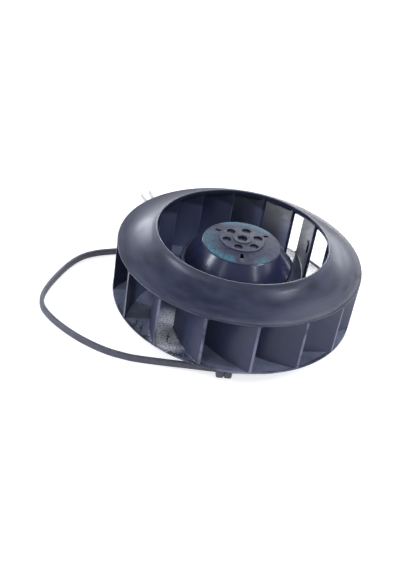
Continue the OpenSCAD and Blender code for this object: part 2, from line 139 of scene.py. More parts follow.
def pick(obj: Object, kind: Element, test: Callable[[object], bool]) -> None:
    """Selects the edges or faces of the object in edit mode that pass a test, and nothing else.

    Args:
        obj: The object that is in edit mode.
        kind: What is selected.
        test: Says of one element whether it is selected.
    """
    bpy.ops.mesh.select_mode(type=kind.name)
    bpy.ops.mesh.select_all(action="DESELECT")
    mesh = bmesh.from_edit_mesh(obj.data)
    for element in filter(test, getattr(mesh, kind.value)):
        element.select_set(True)
    mesh.select_flush_mode()
    bmesh.update_edit_mesh(obj.data)


def add_object(name: str, data: bpy.types.ID) -> Object:
    """Puts a new object with the given data into the scene.

    Args:
        name: The object's name.
        data: Its mesh, lamp or camera.

    Returns:
        The object.
    """
    obj = bpy.data.objects.new(name, data)
    bpy.context.scene.collection.objects.link(obj)
    return obj


def apply_modifier(obj: Object, kind: str, **settings: object) -> None:
    """Adds a modifier, sets it up and applies it.

    Args:
        obj: The object that the modifier shapes.
        kind: The modifier's type.
        settings: The modifier's own settings.
    """
    select_only(obj)
    modifier = obj.modifiers.new(kind.lower(), kind)
    for key, value in settings.items():
        setattr(modifier, key, value)
    bpy.ops.object.modifier_apply(modifier=modifier.name)


def place(obj: Object, turn: Matrix, where: Sequence[float]) -> None:
    """Turns and moves a piece that was modelled at the origin, and puts its place in its mesh.

    Args:
        obj: The piece.
        turn: How it is turned.
        where: Where its origin goes, in millimetres.
    """
    select_only(obj)
    obj.matrix_world = Matrix.Translation(scaled(where)) @ turn.to_4x4()
    bpy.ops.object.transform_apply(location=True, rotation=True, scale=True)


def smooth(obj: Object, degrees: float = CREASE) -> None:
    """Shades an object smooth except across edges sharper than the given angle."""
    select_only(obj)
    bpy.ops.object.shade_smooth_by_angle(angle=math.radians(degrees))


class Pen:
    """A line drawn point by point in edit mode, which is then turned into a surface.

    A point is given in space, or as radius and height in the section plane y = 0, in millimetres.
    """

    def __init__(self, name: str, start: Sequence[float]) -> None:
        """Puts the first point of the line.

        Args:
            name: The name of the new object.
            start: The first point.
        """
        deselect_all()
        bpy.ops.mesh.primitive_plane_add(size=MM)
        self.obj = bpy.context.object
        self.obj.name = name
        bpy.ops.object.mode_set(mode="EDIT")
        bpy.ops.mesh.select_mode(type="VERT")
        bpy.ops.mesh.select_all(action="SELECT")
        bpy.ops.mesh.merge(type="CENTER")
        self.place = self.spot(start)
        bpy.ops.transform.translate(value=self.place * MM)

    @staticmethod
    def spot(point: Sequence[float]) -> Vector:
        """Gives a point in space, also where only its radius and height are known."""
        return Vector(point) if len(point) == 3 else Vector((point[0], 0, point[1]))

    def line(self, *points: Sequence[float]) -> "Pen":
        """Draws straight on to each point in turn.

        Args:
            points: The points.

        Returns:
            The pen itself.
        """
        for point in map(self.spot, points):
            step = (point - self.place) * MM
            bpy.ops.mesh.extrude_vertices_move(TRANSFORM_OT_translate={"value": step})
            self.place = point
        return self

    def arc(self, centre: Sequence[float], degrees: float, steps: int) -> "Pen":
        """Draws an arc in the section plane, anticlockwise where degrees is positive.

        Args:
            centre: The arc's centre.
            degrees: The angle that the arc runs through.
            steps: The number of straight pieces that make it.

        Returns:
            The pen itself.
        """
        middle = self.spot(centre)
        turn = math.radians(degrees)
        bpy.ops.mesh.spin(steps=steps, angle=-turn, center=middle * MM, axis=(0, -1, 0))
        self.place = middle + Matrix.Rotation(turn, 3, (0, -1, 0)) @ (self.place - middle)
        return self

    def spin(self, centre: Point, degrees: float, steps: int) -> Object:
        """Turns the whole line about an upright axis into a surface.

        Args:
            centre: A point on the axis, in millimetres.
            degrees: The angle that it turns through.
            steps: The number of steps in it.

        Returns:
            The surface's object, in object mode.
        """
        merge_doubles()
        bpy.ops.mesh.spin(
            steps=steps, angle=-math.radians(degrees), center=scaled(centre), axis=(0, 0, 1)
        )
        merge_doubles()
        bpy.ops.mesh.normals_make_consistent(inside=False)
        bpy.ops.object.mode_set(mode="OBJECT")
        return self.obj

    def revolve(self, steps: int = 192) -> Object:
        """Turns a section once round the shaft axis."""
        return self.spin((0, 0, 0), 360, steps)


class Block:
    """An upright bar that grows from a square, section by section, along the X axis."""

    def __init__(self, name: str, x: float, size: tuple[float, float]) -> None:
        """Puts the first section.

        Args:
            name: The name of the new object.
            x: Where the section stands, in millimetres.
            size: Its width along Y and its height along Z, in millimetres.
        """
        deselect_all()
        bpy.ops.mesh.primitive_plane_add(size=MM, rotation=(0, math.pi / 2, 0))
        self.obj = bpy.context.object
        self.obj.name = name
        bpy.ops.object.transform_apply(location=True, rotation=True, scale=True)
        bpy.ops.object.mode_set(mode="EDIT")
        bpy.ops.mesh.select_all(action="SELECT")
        bpy.ops.transform.translate(value=scaled((x, 0, 0)))
        bpy.ops.transform.resize(value=(1, *size))
        self.x = x
        self.size = size

    def grow(self, *sections: tuple[float, float, float]) -> "Block":
        """Extrudes the bar to each section in turn.

        Args:
            sections: Each section's place along X, its width and its height, in millimetres.

        Returns:
            The block itself.
        """
        for x, width, height in sections:
            step = scaled((x - self.x, 0, 0))
            bpy.ops.mesh.extrude_region_move(TRANSFORM_OT_translate={"value": step})
            bpy.ops.transform.resize(value=(1, width / self.size[0], height / self.size[1]))
            self.x, self.size = x, (width, height)
        return self

    def close(self, rounding: float) -> Object:
        """Closes the bar, rounds its edges and leaves edit mode.

        Args:
            rounding: The radius of its edges, in millimetres.

        Returns:
            The bar's object.
        """
        face_outwards()
        bpy.ops.object.mode_set(mode="OBJECT")
        apply_modifier(
            self.obj, "BEVEL", width=rounding * MM, segments=4, limit_method="ANGLE",
            angle_limit=math.radians(CORNER), use_clamp_overlap=True,
        )
        smooth(self.obj)
        return self.obj


def sweep(name: str, path: Sequence[Vector], section: Sequence[tuple[float, float]]) -> Object:
    """Makes a closed tube of a given section along a path, with the section kept upright.

    Args:
        name: The name of the new object.
        path: Points along the tube's middle, in millimetres.
        section: The section's points as sideways and upward offsets, in millimetres.

    Returns:
        The tube's object.
    """
    count = len(section)
    vertices = []
    for index, point in enumerate(path):
        ahead = path[min(index + 1, len(path) - 1)] - path[max(index - 1, 0)]
        side = ahead.cross(Vector((0, 0, 1))).normalized()
        up = side.cross(ahead).normalized()
        vertices += [(point + side * across + up * rise) * MM for across, rise in section]
    faces = [
        (ring * count + k, ring * count + (k + 1) % count, (ring + 1) * count + (k + 1) % count,
         (ring + 1) * count + k)
        for ring in range(len(path) - 1)
        for k in range(count)
    ]
    last = (len(path) - 1) * count
    faces += [tuple(range(count))[::-1], tuple(range(last, last + count))]
    mesh = bpy.data.meshes.new(name)
    mesh.from_pydata(vertices, [], faces)
    obj = add_object(name, mesh)
    edit(obj)
    face_outwards()
    smooth(obj, 50)
    return obj


def smooth_path(points: Sequence[Point], per_span: int) -> list[Vector]:
    """Runs a smooth curve through the points of a route.

    Args:
        points: The route's points, in millimetres.
        per_span: The number of steps between two of them.

    Returns:
        Points along the curve.
    """
    knots = [Vector(point) for point in points]
    knots = [2 * knots[0] - knots[1], *knots, 2 * knots[-1] - knots[-2]]
    path = []
    for a, b, c, d in zip(knots, knots[1:], knots[2:], knots[3:]):
        for step in range(per_span):
            t = step / per_span
            bend = (2 * a - 5 * b + 4 * c - d) * t * t + (3 * b - a - 3 * c + d) * t * t * t
            path.append((2 * b + (c - a) * t + bend) / 2)
    return [*path, knots[-2]]


def direction(degrees: float) -> Vector:
    """Gives the direction in a plane at an angle from its first axis, of length one."""
    return Vector((math.cos(math.radians(degrees)), math.sin(math.radians(degrees))))


def spread(count: int, phase: float) -> list[float]:
    """Gives the angles, in degrees, of things that stand evenly round the shaft."""
    return [phase + index * 360 / count for index in range(count)]


# Finishes


def linear(colour: str) -> tuple[float, float, float, float]:
    """Turns an sRGB hex colour into the linear colour that a shader takes.

    Args:
        colour: The colour as six hex digits after a hash sign.

    Returns:
        Red, green, blue and an alpha of one.
    """
    shares = [int(colour[start:start + 2], 16) / 255 for start in (1, 3, 5)]
    red, green, blue = [
        share / 12.92 if share <= 0.04045 else ((share + 0.055) / 1.055) ** 2.4 for share in shares
    ]
    return red, green, blue, 1.0


def per_mm(size: float) -> float:
    """Gives the texture scale at which a pattern's features are the given size, in millimetres."""
    return 1 / (size * MM)


def add_node(tree: NodeTree, kind: str, feeds: dict | None = None, **settings: object) -> Node:
    """Adds one shader node with its settings, values and links.

    Args:
        tree: The material's node tree.
        kind: The node's type, without its common prefix.
        feeds: What goes into each socket: a plain value, an output, or a node whose first output it is.
        settings: The node's own settings.

    Returns:
        The new node.
    """
    node = tree.nodes.new("ShaderNode" + kind)
    for key, value in settings.items():
        setattr(node, key, value)
    for socket, feed in (feeds or {}).items():
        if isinstance(feed, Node):
            feed = next(output for output in feed.outputs if output.enabled)
        if isinstance(feed, NodeSocket):
            tree.links.new(feed, node.inputs[socket])
        else:
            node.inputs[socket].default_value = feed
    return node


def node_adder(owner: Material | World) -> Adder:
    """Empties the node tree of a material or a world.

    Args:
        owner: The material or the world.

    Returns:
        The function that adds a node to that tree.
    """
    owner.use_nodes = True
    owner.node_tree.nodes.clear()
    return partial(add_node, owner.node_tree)


# Sockets of a colour mix, and of a range that is mapped to another
SHARE, BELOW, ABOVE = 0, 6, 7
VALUE, LOW, HIGH, TO_LOW, TO_HIGH = 0, 1, 2, 3, 4


def about_shaft(add: Adder, spot: NodeSocket) -> tuple[NodeSocket, Node]:
    """Adds the nodes that measure a place from the shaft axis.

    Args:
        add: Adds a node to the material's tree.
        spot: The place on the object, in metres.

    Returns:
        The distance from the axis, and the direction from it, of length one.
    """
    flat = add("VectorMath", {0: spot, 1: (1, 1, 0)}, operation="MULTIPLY")
    radius = add("VectorMath", {0: flat}, operation="LENGTH").outputs["Value"]
    return radius, add("VectorMath", {0: flat}, operation="NORMALIZE")


@dataclass(frozen=True)
class Mark:
    """A mark on a surface: its middle and how far it reaches along each axis, in millimetres."""

    middle: Point
    size: Point

    def away(self, add: Adder, spot: NodeSocket) -> Node:
        """Adds the nodes that measure how far a place is from the mark's middle.

        Args:
            add: Adds a node to the material's tree.
            spot: The place on the object, in metres.

        Returns:
            The distance in the mark's own sizes, which is one at its edge.
        """
        reach = add("VectorMath", {0: spot, 1: scaled(self.middle)}, operation="SUBTRACT")
        shaped = add("VectorMath", {0: reach, 1: scaled(self.size)}, operation="DIVIDE")
        return add("VectorMath", {0: shaped}, operation="LENGTH")


@dataclass(frozen=True)
class Stretch:
    """A stretch round the shaft axis: its middle, half its width and how far its ends fade, in degrees."""

    angle: float
    half: float
    fade: float

    def ends(self, add: Adder, heading: Node) -> dict:
        """Adds the node that measures how far round a place is from the stretch's middle.

        Args:
            add: Adds a node to the material's tree.
            heading: The direction from the shaft axis, of length one.

        Returns:
            What feeds a mapped range that runs from outside the faded ends to the full part.
        """
        middle = direction(self.angle).to_3d()
        along = add("VectorMath", {0: heading, 1: middle}, operation="DOT_PRODUCT")
        low, high = (math.cos(math.radians(half)) for half in (self.half + self.fade, self.half))
        return {VALUE: along, LOW: low, HIGH: high}


@dataclass(frozen=True)
class Finish:
    """What a surface is made of: its base colour, gloss and metal, before its own pattern."""

    name: str
    colour: str
    roughness: float
    metallic: float = 0.0

    def material(self) -> Material:
        """Builds the material the first time and gives the same one after that.

        Returns:
            The material.
        """
        known = bpy.data.materials.get(self.name)
        if known:
            return known
        material = bpy.data.materials.new(self.name)
        add = node_adder(material)
        shader = {
            "Base Color": linear(self.colour), "Roughness": self.roughness, "Metallic": self.metallic,
        }
        spot = add("TexCoord").outputs["Object"]
        shader.update(self.pattern(add, spot))
        surface = add("BsdfPrincipled", shader)
        add("OutputMaterial", {"Surface": surface})
        return material

    def pattern(self, add: Adder, spot: NodeSocket) -> dict:
        """Adds what the finish shows beyond its base values.

        Args:
            add: Adds a node to the material's tree.
            spot: The place on the object, in metres.

        Returns:
            What feeds the shader's sockets in place of its base values.
        """
        raise NotImplementedError


@dataclass(frozen=True)
class MouldedNylon(Finish):
    """Glass-filled nylon, injection moulded.

    It gives the eye a dark slate satin whose gloss drifts in wiped bands, rubbed pale along the rim and the
    lip, where the pale is also a painted highlight, filmed with dust that also serves as painted light inside
    the wheel and on the plate, with a drift of grey dust on the backplate, dirt along the plate's rim, darker
    over one stretch of it, and a few dark rubs.
    """

    pale: str = "#34384a"
    blade: str = "#2b2f4b"
    # The rubbed colour on the rim's end faces and the lip is also a painted highlight
    rubbed: str = "#8f93a4"
    # These two colours are dust, and also painted light inside the wheel and on the plate
    film_and_fill: str = "#4f556d"
    plate_film_and_fill: str = "#838895"
    dust: str = "#d8d8d6"
    dark: str = "#14151d"
    specular: float = 0.36
    cloud: float = 40.0
    wipe: float = 3.5
    wipe_drag: float = 14.0
    grain: float = 1.4
    speck: float = 1.6
    blade_share: float = 0.5
    film_and_fill_share: float = 0.75
    film_and_fill_fade: float = 16.0
    film_and_fill_top: float = 3.0
    collar_r: float = 54.0
    collar_fade: float = 4.0
    collar_dull: float = 0.8
    hub_r: float = 82.0
    rim_r: float = 109.97
    rim_share: float = 0.6
    rim_band: float = 0.06
    rim_z: float = 64.0
    lip_z: float = 82.35
    lip_share: float = 0.2
    lip_band: float = 0.2
    plate_z: float = 16.0
    plate_skin: float = 0.3
    plate_gloss: float = 0.2
    gloss_drift: tuple[float, float] = (-0.03, 0.09)
    dirt_dull: float = 0.75
    smudge: float = 2.6
    smudge_share: float = 0.75
    smudge_z: tuple[float, float] = (0.4, 0.2)
    smudge_fade: float = 0.6
    stretch_band: float = 5.5
    stretch_band_share: float = 0.95
    stretch_band_at: Stretch = Stretch(40.0, 14.0, 5.0)
    rub_share: float = 0.85
    rub_ragged: float = 1.6
    depth: float = 0.02
    drift: Mark = Mark((-50.0, -70.0, 16.0), (17.0, 30.0, 9.0))
    rubs: tuple[Mark, ...] = (
        Mark((91.0, 36.0, 67.5), (2.4, 5.5, 4.0)), Mark((-74.0, -73.0, 16.0), (1.5, 10.0, 2.0)),
        Mark((-79.0, -66.0, 16.0), (1.2, 7.0, 2.0)), Mark((-50.0, -80.0, 16.0), (1.2, 8.0, 2.0)),
        Mark((-82.0, -71.5, 15.0), (7.0, 5.0, 3.0)), Mark((-70.0, -84.0, 15.0), (9.0, 3.5, 3.0)),
        Mark((-44.0, -99.5, 15.0), (14.0, 3.0, 3.0)), Mark((-22.0, -106.0, 15.0), (9.0, 3.0, 3.0)),
    )

    def pattern(self, add: Adder, spot: NodeSocket) -> dict:
        """Adds gloss drifts, films and rubbed edges that are partly painted light, dust, rim dirt and rubs.

        Args:
            add: Adds a node to the material's tree.
            spot: The place on the object, in metres.

        Returns:
            The shader's colour, roughness and relief.
        """
        collar, hub, rim, rim_z, lip, plate, skin = (
            size * MM for size in (
                self.collar_r, self.hub_r, self.rim_r, self.rim_z, self.lip_z, self.plate_z, self.plate_skin,
            )
        )
        height = add("SeparateXYZ", {0: spot}).outputs["Z"]
        radius, heading = about_shaft(add, spot)

        # The wiped bands run round the shaft, over the shroud and down the blades
        cloud = add("TexNoise", {
            "Vector": spot, "Scale": per_mm(self.cloud), "Detail": 8, "Roughness": 0.68,
        })
        around = add("VectorMath", {0: heading, "Scale": self.wipe_drag * MM}, operation="SCALE")
        outward = add("Math", {0: radius, 1: height}, operation="ADD")
        across = add("CombineXYZ", {"Z": outward})
        lay = add("VectorMath", {0: around, 1: across}, operation="ADD")
        wipes = add("TexNoise", {"Vector": lay, "Scale": per_mm(self.wipe), "Detail": 3})
        worn_skin = add("Math", {0: cloud, 1: wipes}, operation="ADD")
        bands = add("MapRange", {VALUE: worn_skin, LOW: 0.7, HIGH: 1.26})

        # Below the shroud the skin is a shade bluer, and filmed paler round the collar and on the plate:
        # dust, and also painted light that lifts the shade inside the wheel
        below = add("MapRange", {VALUE: height, LOW: rim_z, HIGH: rim_z - MM, TO_HIGH: self.blade_share})
        film_and_fill_past_collar = add("MapRange", {
            VALUE: radius, LOW: collar, HIGH: collar + self.collar_fade * MM, TO_HIGH: self.film_and_fill_share,
        })
        inside = add("MapRange", {VALUE: radius, LOW: hub + self.film_and_fill_fade * MM, HIGH: hub, TO_HIGH: film_and_fill_past_collar})
        under = add("MapRange", {
            VALUE: height, LOW: rim_z + self.film_and_fill_top * MM, HIGH: rim_z, TO_HIGH: inside,
        })
        # The plate's upper face is filmed paler still: dust, and also painted light on it
        patchy = add("MapRange", {VALUE: cloud, LOW: 0.4, HIGH: 0.62, TO_LOW: 0.28, TO_HIGH: 0.58})
        floor = add("MapRange", {VALUE: height, LOW: plate + skin, HIGH: plate, TO_HIGH: patchy})

        # The real dust is finer than a pixel, so its specks are drawn coarse enough to show
        specks = add("TexNoise", {"Vector": spot, "Scale": per_mm(self.speck), "Detail": 5})
        drifted = add("Math", {0: self.drift.away(add, spot), 1: cloud}, operation="ADD")
        heap = add("MapRange", {VALUE: drifted, LOW: 1.65, HIGH: 1.05})
        settled = add("MapRange", {VALUE: height, LOW: plate + MM, HIGH: plate, TO_HIGH: heap})
        dust = add("MapRange", {VALUE: specks, LOW: 0.33, HIGH: 0.5, TO_HIGH: settled})

        # Handling rubs the rim and lip pale, and that pale is also a painted highlight on their edges
        uneven = add("MapRange", {VALUE: cloud, LOW: 0.42, HIGH: 0.6, TO_HIGH: self.rim_share})
        at_rim = add("MapRange", {VALUE: radius, LOW: rim - self.rim_band * MM, HIGH: rim, TO_HIGH: uneven})
        at_lip = add("MapRange", {
            VALUE: height, LOW: lip - self.lip_band * MM, HIGH: lip, TO_HIGH: self.lip_share,
        })
        rub_and_edge_highlight = add("Math", {0: at_rim, 1: at_lip}, operation="MAXIMUM")

        # Dirt lies broken along the plate's rim; over one stretch the rim is dark all over and further in
        smudged = add("MapRange", {VALUE: wipes, LOW: 0.46, HIGH: 0.62, TO_HIGH: self.smudge_share})
        ends = self.stretch_band_at.ends(add, heading)
        stretch_band = add("MapRange", {**ends, TO_LOW: smudged, TO_HIGH: self.stretch_band_share})
        start = add("MapRange", {**ends, TO_LOW: rim - self.smudge * MM, TO_HIGH: rim - self.stretch_band * MM})
        clean, full = (plate + z * MM for z in self.smudge_z)
        low = add("MapRange", {VALUE: height, LOW: clean, HIGH: full, TO_HIGH: stretch_band})
        brim = add("MapRange", {
            VALUE: radius, LOW: start, HIGH: rim - (self.smudge - self.smudge_fade) * MM, TO_HIGH: low,
        })

        # Each layer lies over those before it, and the ragged rubs lie over all of them
        layers = [
            (bands, self.pale), (below, self.blade), (under, self.film_and_fill), (floor, self.plate_film_and_fill),
            (dust, self.dust), (rub_and_edge_highlight, self.rubbed), (brim, self.dark),
        ]
        rough = add("MapRange", {VALUE: specks, LOW: 0.3, HIGH: 0.7, TO_HIGH: self.rub_ragged})
        for rub in self.rubs:
            ragged = add("Math", {0: rub.away(add, spot), 1: rough}, operation="ADD")
            rubbed = add("MapRange", {VALUE: ragged, LOW: 1.7, HIGH: 1.2, TO_HIGH: self.rub_share})
            layers.append((rubbed, self.dark))
        colour = linear(self.colour)
        for share, shade in layers:
            colour = add("Mix", {SHARE: share, BELOW: colour, ABOVE: linear(shade)}, data_type="RGBA")

        # The gloss drifts with the bands: collar, dust and the darkened rim are dull, and the plate is slick
        sleek, matt = (self.roughness + drift for drift in self.gloss_drift)
        gloss = add("MapRange", {VALUE: worn_skin, LOW: 0.8, HIGH: 1.2, TO_LOW: sleek, TO_HIGH: matt})
        dulled = add("MapRange", {
            VALUE: radius, LOW: collar, HIGH: collar + MM, TO_LOW: self.collar_dull, TO_HIGH: gloss,
        })
        slick = add("MapRange", {
            VALUE: height, LOW: plate, HIGH: plate + skin, TO_LOW: self.plate_gloss, TO_HIGH: dulled,
        })
        soiled = add("Math", {0: dust, 1: brim}, operation="MAXIMUM")
        dirty = add("MapRange", {VALUE: soiled, HIGH: 0.5, TO_LOW: slick, TO_HIGH: self.dirt_dull})

        # The moulded grain is a few hundredths of a millimetre, and is drawn far coarser so that it shows
        grain = add("TexNoise", {"Vector": spot, "Scale": per_mm(self.grain), "Detail": 2})
        relief = add("Bump", {"Height": grain, "Distance": self.depth * MM, "Strength": 0.3})
        return {
            "Base Color": colour, "Roughness": dirty, "Normal": relief, "Specular IOR Level": self.specular,
        }


@dataclass(frozen=True)
class InkPatch(Stretch):
    """One worn stretch of the crown's wash of ink: where it starts from the axis, and how strong it is.

    It fades in over a little way inward and outward of its start.
    """

    inner_r: float
    strength: float
    inward: float = 3.0
    outward: float = 6.0

    def mask(self, add: Adder, heading: Node, radius: NodeSocket) -> Node:
        """Adds the nodes that are full inside the stretch and fade out at its ends.

        Args:
            add: Adds a node to the material's tree.
            heading: The direction from the shaft axis, of length one.
            radius: The distance from the shaft axis.

        Returns:
            The stretch's strength at each place.
        """
        width = add("MapRange", {**self.ends(add, heading), TO_HIGH: self.strength})
        return add("MapRange", {
            VALUE: radius, LOW: (self.inner_r - self.inward) * MM, HIGH: (self.inner_r + self.outward) * MM,
            TO_HIGH: width,
        })


@dataclass(frozen=True)
class BakedEnamel(Finish):
    """Black enamel baked on pressed steel.

    It gives the eye a glossy near-black flank with long reflections, and a crown dulled to a grey satin that
    carries the remains of a wash of green ink.
    """

    satin: str = "#35374b"
    shade: str = "#1f2336"
    ink: str = "#2e7680"
    # The burr colour is painted shade on the walls of the crown's openings and steps
    burr: str = "#0c0d13"
    crown_r: float = 34.6
    crown_fade: float = 0.5
    wall_shade_fade: float = 2.0
    dull: float = 0.62
    specular: float = 0.42
    mottle: float = 5.0
    fleck: float = 1.3
    depth: float = 0.04
    patches: tuple[InkPatch, ...] = (
        InkPatch(-168, 28, 8, 24, 0.45), InkPatch(-127, 24, 8, 28, 0.85), InkPatch(84, 38, 8, 26, 0.7),
        InkPatch(-53, 8, 8, 28, 0.7),
    )

    def pattern(self, add: Adder, spot: NodeSocket) -> dict:
        """Adds the dull crown and its worn wash of ink.

        Args:
            add: Adds a node to the material's tree.
            spot: The place on the object, in metres.

        Returns:
            The shader's colour, roughness and relief.
        """
        radius, heading = about_shaft(add, spot)
        normal = add("TexCoord").outputs["Normal"]
        facing = add("SeparateXYZ", {0: normal}).outputs["Z"]
        upward = add("MapRange", {VALUE: facing, LOW: 0.75, HIGH: 0.9})
        crown = add("MapRange", {
            VALUE: radius, LOW: (self.crown_r + self.crown_fade) * MM,
            HIGH: (self.crown_r - self.crown_fade) * MM, TO_HIGH: upward,
        })
        mottle = add("TexNoise", {"Vector": spot, "Scale": per_mm(self.mottle), "Detail": 5})
        share = add("MapRange", {VALUE: mottle, LOW: 0.32, HIGH: 0.68})
        satin = add("Mix", {
            SHARE: share, BELOW: linear(self.shade), ABOVE: linear(self.satin),
        }, data_type="RGBA")
        wash = None
        for patch in self.patches:
            mask = patch.mask(add, heading, radius)
            wash = mask if wash is None else add("Math", {0: wash, 1: mask}, operation="MAXIMUM")
        # The ink's worn screen is finer than a pixel, so its flecks are drawn coarse enough to show
        fleck = add("TexNoise", {"Vector": spot, "Scale": per_mm(self.fleck), "Detail": 3})
        left = add("MapRange", {VALUE: fleck, LOW: 0.4, HIGH: 0.54, TO_HIGH: wash})
        inked = add("Mix", {SHARE: left, BELOW: satin, ABOVE: linear(self.ink)}, data_type="RGBA")
        colour = add("Mix", {SHARE: crown, BELOW: linear(self.colour), ABOVE: inked}, data_type="RGBA")
        # The walls of the crown's openings and steps are dull, and dark with painted shade
        within = add("MapRange", {
            VALUE: radius, LOW: self.crown_r * MM, HIGH: (self.crown_r - self.wall_shade_fade) * MM,
        })
        wall_shade = add("MapRange", {VALUE: facing, LOW: 0.6, HIGH: 0.3, TO_HIGH: within})
        colour = add("Mix", {SHARE: wall_shade, BELOW: colour, ABOVE: linear(self.burr)}, data_type="RGBA")
        shine = add("Math", {0: crown, 1: wall_shade}, operation="MAXIMUM")
        gloss = add("MapRange", {VALUE: shine, TO_LOW: self.roughness, TO_HIGH: self.dull})
        relief = add("Bump", {"Height": mottle, "Distance": self.depth * MM, "Strength": 0.3})
        return {
            "Base Color": colour, "Roughness": gloss, "Normal": relief, "Specular IOR Level": self.specular,
        }


@dataclass(frozen=True)
class GrainedMetal(Finish):
    """Metal, bare or thinly coated, that was cast, turned, pressed or drawn.

    It gives the eye a grain that mottles and roughens the metal, drawn out along one way where the metal was
    turned or stacked.
    """

    grain: float = 0.8
    stretch: Point = (1.0, 1.0, 1.0)
    shade: str = "#5a5c60"
    depth: float = 0.03
    gloss_drift: tuple[float, float] = (0.1, -0.05)

    def pattern(self, add: Adder, spot: NodeSocket) -> dict:
        """Adds the grain.

        Args:
            add: Adds a node to the material's tree.
            spot: The place on the object, in metres.

        Returns:
            The shader's colour, roughness and relief.
        """
        drawn = add("Mapping", {"Vector": spot, "Scale": self.stretch})
        grain = add("TexNoise", {"Vector": drawn, "Scale": per_mm(self.grain), "Detail": 4})
        share = add("MapRange", {VALUE: grain, LOW: 0.3, HIGH: 0.75})
        colour = add("Mix", {
            SHARE: share, BELOW: linear(self.shade), ABOVE: linear(self.colour),
        }, data_type="RGBA")
        matt, sleek = (self.roughness + drift for drift in self.gloss_drift)
        gloss = add("MapRange", {VALUE: grain, LOW: 0.3, HIGH: 0.7, TO_LOW: matt, TO_HIGH: sleek})
        relief = add("Bump", {"Height": grain, "Distance": self.depth * MM, "Strength": 0.5})
        return {"Base Color": colour, "Roughness": gloss, "Normal": relief}


@dataclass(frozen=True)
class SoftPlastic(Finish):
    """Extruded or moulded PVC, polyamide and rubber.

    It gives the eye a matt skin with faint scuffs and a fine grain.
    """

    scuff: str = "#6a6a70"
    scuff_size: float = 5.0
    scuff_share: float = 0.7
    grain: float = 0.7
    depth: float = 0.03
    gloss_drift: tuple[float, float] = (-0.06, 0.1)

    def pattern(self, add: Adder, spot: NodeSocket) -> dict:
        """Adds the scuffs and the grain.

        Args:
            add: Adds a node to the material's tree.
            spot: The place on the object, in metres.

        Returns:
            The shader's colour, roughness and relief.
        """
        scuffs = add("TexNoise", {"Vector": spot, "Scale": per_mm(self.scuff_size), "Detail": 5})
        share = add("MapRange", {VALUE: scuffs, LOW: 0.45, HIGH: 0.75, TO_HIGH: self.scuff_share})
        colour = add("Mix", {
            SHARE: share, BELOW: linear(self.colour), ABOVE: linear(self.scuff),
        }, data_type="RGBA")
        sleek, matt = (self.roughness + drift for drift in self.gloss_drift)
        gloss = add("MapRange", {VALUE: scuffs, LOW: 0.3, HIGH: 0.7, TO_LOW: sleek, TO_HIGH: matt})
        grain = add("TexNoise", {"Vector": spot, "Scale": per_mm(self.grain), "Detail": 2})
        relief = add("Bump", {"Height": grain, "Distance": self.depth * MM, "Strength": 0.4})
        return {"Base Color": colour, "Roughness": gloss, "Normal": relief}


UP = (0.04, 0.04, 1.0)
WHEEL = MouldedNylon("moulded_glass_filled_nylon", "#232634", 0.32)
ENAMEL = BakedEnamel("baked_black_enamel", "#252942", 0.24)
CASTING = GrainedMetal("die_cast_aluminium", "#a9acb1", 0.42, 1.0, shade="#85888d")
CAGE = GrainedMetal("cast_cage_aluminium", "#b9bcc2", 0.38, 1.0)
LAMINATIONS = GrainedMetal("stacked_electrical_steel", "#7b7d82", 0.4, 1.0, 0.5, UP, "#3a3b40", 0.08)
TURNED = GrainedMetal("turned_steel", "#85878d", 0.36, 1.0, 0.4, UP, "#5c5e64")
PHOSPHATED = GrainedMetal("phosphated_steel", "#2f3348", 0.6, 0.2, 1.2, shade="#252838")
GROUND = GrainedMetal("ground_bearing_steel", "#c4c7cc", 0.16, 1.0, 0.4, UP, "#a4a7ac")
SPRING = GrainedMetal("blackened_spring_steel", "#3a3b40", 0.36, 1.0, shade="#202126")
COPPER = GrainedMetal("enamelled_copper_wire", "#8a4f2c", 0.35, 0.8, 0.9, (1, 1, 0.2), "#4c2814", 0.2)
INSULATOR = SoftPlastic("moulded_insulator_nylon", "#c9c3b0", 0.5, scuff="#aaa48f")
JACKET = SoftPlastic("extruded_pvc_jacket", "#45454e", 0.5, scuff="#5d5e67")
RUBBER = SoftPlastic("moulded_rubber", "#4a4a57", 0.48, scuff="#62626c")
SLEEVE = SoftPlastic("cream_sleeve_polyamide", "#bcbeb5", 0.5, scuff="#a6a79e")
TINNED = GrainedMetal("tinned_copper_strands", "#8c8e90", 0.35, 1.0, 0.5, shade="#66686a")
CORE_FINISH = {
    Side.LEFT: SoftPlastic("blue_core_pvc", "#2b4a8a", 0.45, scuff="#3f5c98"),
    Side.RIGHT: SoftPlastic("brown_core_pvc", "#6a4632", 0.45, scuff="#7c5a46"),
}


def dress(obj: Object, finish: Finish, slot: str, body: Body, *nodes: str) -> Object:
    """Gives a new piece its finish, its body and the solids that it stands for.

    Args:
        obj: The piece.
        finish: What it is made of.
        slot: The record's material slot; not used.
        body: The body that it rides on.
        nodes: The solids that it replaces.

    Returns:
        The piece.
    """
    obj.data.materials.clear()
    obj.data.materials.append(finish.material())
    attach(obj, body.value)
    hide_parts(*nodes)
    LOG.info("%s: %d faces of %s", obj.name, len(obj.data.polygons), finish.name)
    return obj


# Wheel


